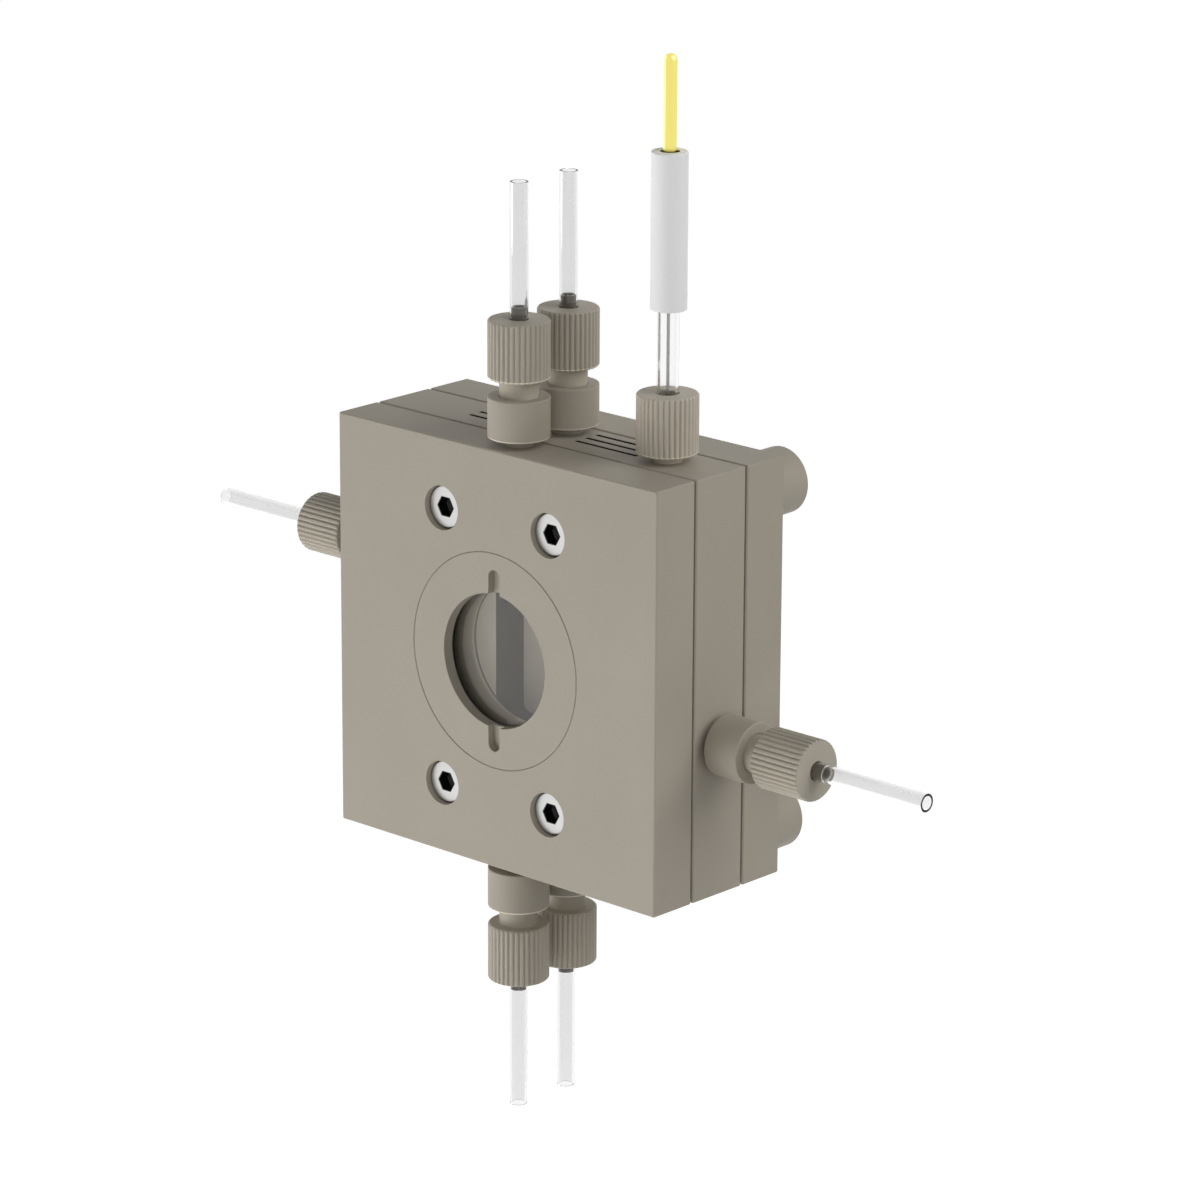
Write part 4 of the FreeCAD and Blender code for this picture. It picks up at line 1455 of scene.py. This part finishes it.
@dataclass
class Studio:
    """Pale floor, white air, soft lamps and the camera."""

    floor_drop: float = 550.0
    floor_size: float = 12.0
    floor_glow: float = 0.97
    floor_tone: float = 0.8
    zenith: float = 0.02
    horizon: float = 0.06
    azimuth: float = 42.65
    elevation: float = 16.87
    roll: float = 0.30
    distance: float = 881.4
    aim: Point = (0.0, 15.0, 0.0)
    offset: Tuple[float, float] = (-6.84, -6.71)
    focal_pixels: float = 5427.5
    frame_pixels: float = 1200.0
    sensor_width: float = 36.0
    clip: Tuple[float, float] = (0.05, 30.0)
    lamps: Sequence[Softbox] = field(default_factory=lambda: (
        Softbox("low_left_softbox", -33.0, -21.0, 1.0, 0.8, 0.80, mirrored=False),
        Softbox("under_softbox", 0.0, -48.0, 0.6, 0.4, 0.14),
        Softbox("left_softbox", -76.0, 12.0, 1.0, 0.8, 0.25),
        Softbox("right_softbox", 50.0, 20.0, 1.0, 0.8, 0.25, mirrored=False),
        Softbox("high_rear_softbox", 112.0, 36.0, 1.2, 1.1, 0.64),
        Softbox("back_softbox", 208.0, 4.0, 1.2, 0.9, 0.55, mirrored=False),
    ))

    @staticmethod
    def seen(graph: Graph) -> NodeSocket:
        """Mask that is 1 for rays that look at the background, also through glass or by gloss.

        Args:
            graph: Graph of a material or of the world.

        Returns:
            The mask.
        """
        path = graph.add("ShaderNodeLightPath")
        direct = graph.math("MAXIMUM", path.outputs["Is Camera Ray"], path.outputs["Is Glossy Ray"])
        return graph.math("MAXIMUM", direct, path.outputs["Is Transmission Ray"])

    def air(self) -> None:
        """World: white where it is seen, and a soft fall from the horizon up as light."""
        world = bpy.data.worlds.new("studio_air")
        world.use_nodes = True
        bpy.context.scene.world = world
        world.node_tree.nodes.clear()
        g = Graph(world.node_tree)
        direction = g.axes(g.add("ShaderNodeTexCoord").outputs["Generated"])
        height = g.math("MULTIPLY", g.math("ABSOLUTE", direction["Z"]), 1.0, clamp=True)
        fall = g.math("MULTIPLY", height, self.zenith - self.horizon)
        level = g.math("ADD", fall, self.horizon)
        light, white = (
            g.add("ShaderNodeBackground", {"Color": WHITE_LIGHT, "Strength": strength}).outputs[0]
            for strength in (level, 1.0)
        )
        mix = g.add("ShaderNodeMixShader", {0: self.seen(g), 1: light, 2: white})
        g.add("ShaderNodeOutputWorld", {"Surface": mix.outputs[0]})

    def floor(self, lowest: float) -> None:
        """Pale floor that looks white and still takes the cell's soft shadow.

        Args:
            lowest: Height of the cell's lowest point, in metres.
        """
        half = self.floor_size / 2
        z = lowest - self.floor_drop * MM
        mesh = bpy.data.meshes.new("studio_floor")
        mesh.from_pydata([(-half, -half, z), (half, -half, z), (half, half, z), (-half, half, z)],
                         [], [(0, 1, 2, 3)])
        floor = linked("studio_floor", mesh)
        material = bpy.data.materials.new("pale_floor")
        material.use_nodes = True
        material.node_tree.nodes.clear()
        g = Graph(material.node_tree)
        matte = g.add("ShaderNodeBsdfDiffuse", {"Color": (*(self.floor_tone,) * 3, 1.0)})
        strength = g.math("MULTIPLY", self.seen(g), self.floor_glow)
        glow = g.add("ShaderNodeEmission", {"Color": WHITE_LIGHT, "Strength": strength})
        both = g.add("ShaderNodeAddShader", {0: matte.outputs[0], 1: glow.outputs[0]})
        g.add("ShaderNodeOutputMaterial", {"Surface": both.outputs[0]})
        mesh.materials.append(material)

    def camera(self) -> None:
        """Camera at the photograph's angle and framing."""
        a, r = math.radians(self.azimuth), math.radians(self.roll)
        back = towards(self.azimuth, self.elevation)
        level = Vector((math.cos(a), math.sin(a), 0))
        upright = back.cross(level)
        right = level * math.cos(r) + upright * math.sin(r)
        up = upright * math.cos(r) - level * math.sin(r)
        across, along = self.offset
        place = Vector(self.aim) - right * across - up * along + back * self.distance
        data = bpy.data.cameras.new("photo_camera")
        data.sensor_width = self.sensor_width
        data.lens = data.sensor_width * self.focal_pixels / self.frame_pixels
        data.clip_start, data.clip_end = self.clip
        camera = linked("photo_camera", data)
        rows = zip(right, up, back, place * MM)
        camera.matrix_world = Matrix((*rows, (0, 0, 0, 1)))
        bpy.context.scene.camera = camera

    def build(self, lowest: float) -> None:
        """Set up everything round the cell.

        Args:
            lowest: Height of the cell's lowest point, in metres.
        """
        self.air()
        self.floor(lowest)
        for lamp in self.lamps:
            lamp.build(Vector(self.aim) * MM)
        self.camera()
        bpy.context.scene.view_settings.view_transform = "Standard"


def fittings() -> List[LiquidFitting]:
    """The six liquid fittings by port.

    Returns:
        The fittings in the order in which they are built.
    """
    front, rear, side, offset = 5.8, 17.225, 15.0, 9.3
    return [
        LiquidFitting("top_front", 0, front, HALF_BLOCK, Outward.UP),
        LiquidFitting("bottom_front", 0, front, -HALF_BLOCK, Outward.DOWN),
        LiquidFitting("top_rear", 0, rear, HALF_BLOCK, Outward.UP),
        LiquidFitting("bottom_rear", 0, rear, -HALF_BLOCK, Outward.DOWN),
        LiquidFitting("left", -HALF_BLOCK, side, offset, Outward.LEFT),
        LiquidFitting("right", HALF_BLOCK, side, -offset, Outward.RIGHT),
    ]


def screw_sets() -> List[CapScrews]:
    """The clamp screws and the foot screws.

    Returns:
        The two sets.
    """
    corners = ((-1, -1), (-1, 1), (1, -1), (1, 1))
    across, along = 11.7, 23.3
    return [
        CapScrews("clamp_screws", [(across * x, along * z) for x, z in corners], head_face=1.0,
                  outward=Outward.FRONT, shank_radius=2.0, shank_length=20.0, head_radius=3.5,
                  head_height=4.0, socket_flats=3.0, socket_depth=2.0),
        CapScrews("foot_screws", [(FOOT_REACH * x, FOOT_REACH * z) for x, z in corners],
                  head_face=37.0, outward=Outward.BACK, shank_radius=1.5, shank_length=8.0,
                  head_radius=2.75, head_height=3.0, socket_flats=2.5, socket_depth=1.5),
    ]


def feet() -> List[RearFoot]:
    """The four feet by corner."""
    return [RearFoot(f"{row}_{side}_foot", FOOT_REACH * x, FOOT_REACH * z)
            for row, z in (("upper", 1), ("lower", -1)) for side, x in (("left", -1), ("right", 1))]


def main() -> None:
    """Build the cell and its studio."""
    rack = FinishRack()
    form = TurnedForm()
    same = ScrewSet()
    PlateStack().build(rack)
    LightWindow().build(rack, form)
    ElectrodeStack().build(rack)
    for screws in screw_sets():
        screws.build(rack, form, same)
    for foot in feet():
        foot.build(rack, form)
    for fitting in fittings():
        fitting.build(rack, form)
    ReferenceElectrode().build(rack, form)
    Studio().build(cad_box[0].z)


if __name__ == "__main__":
    main()
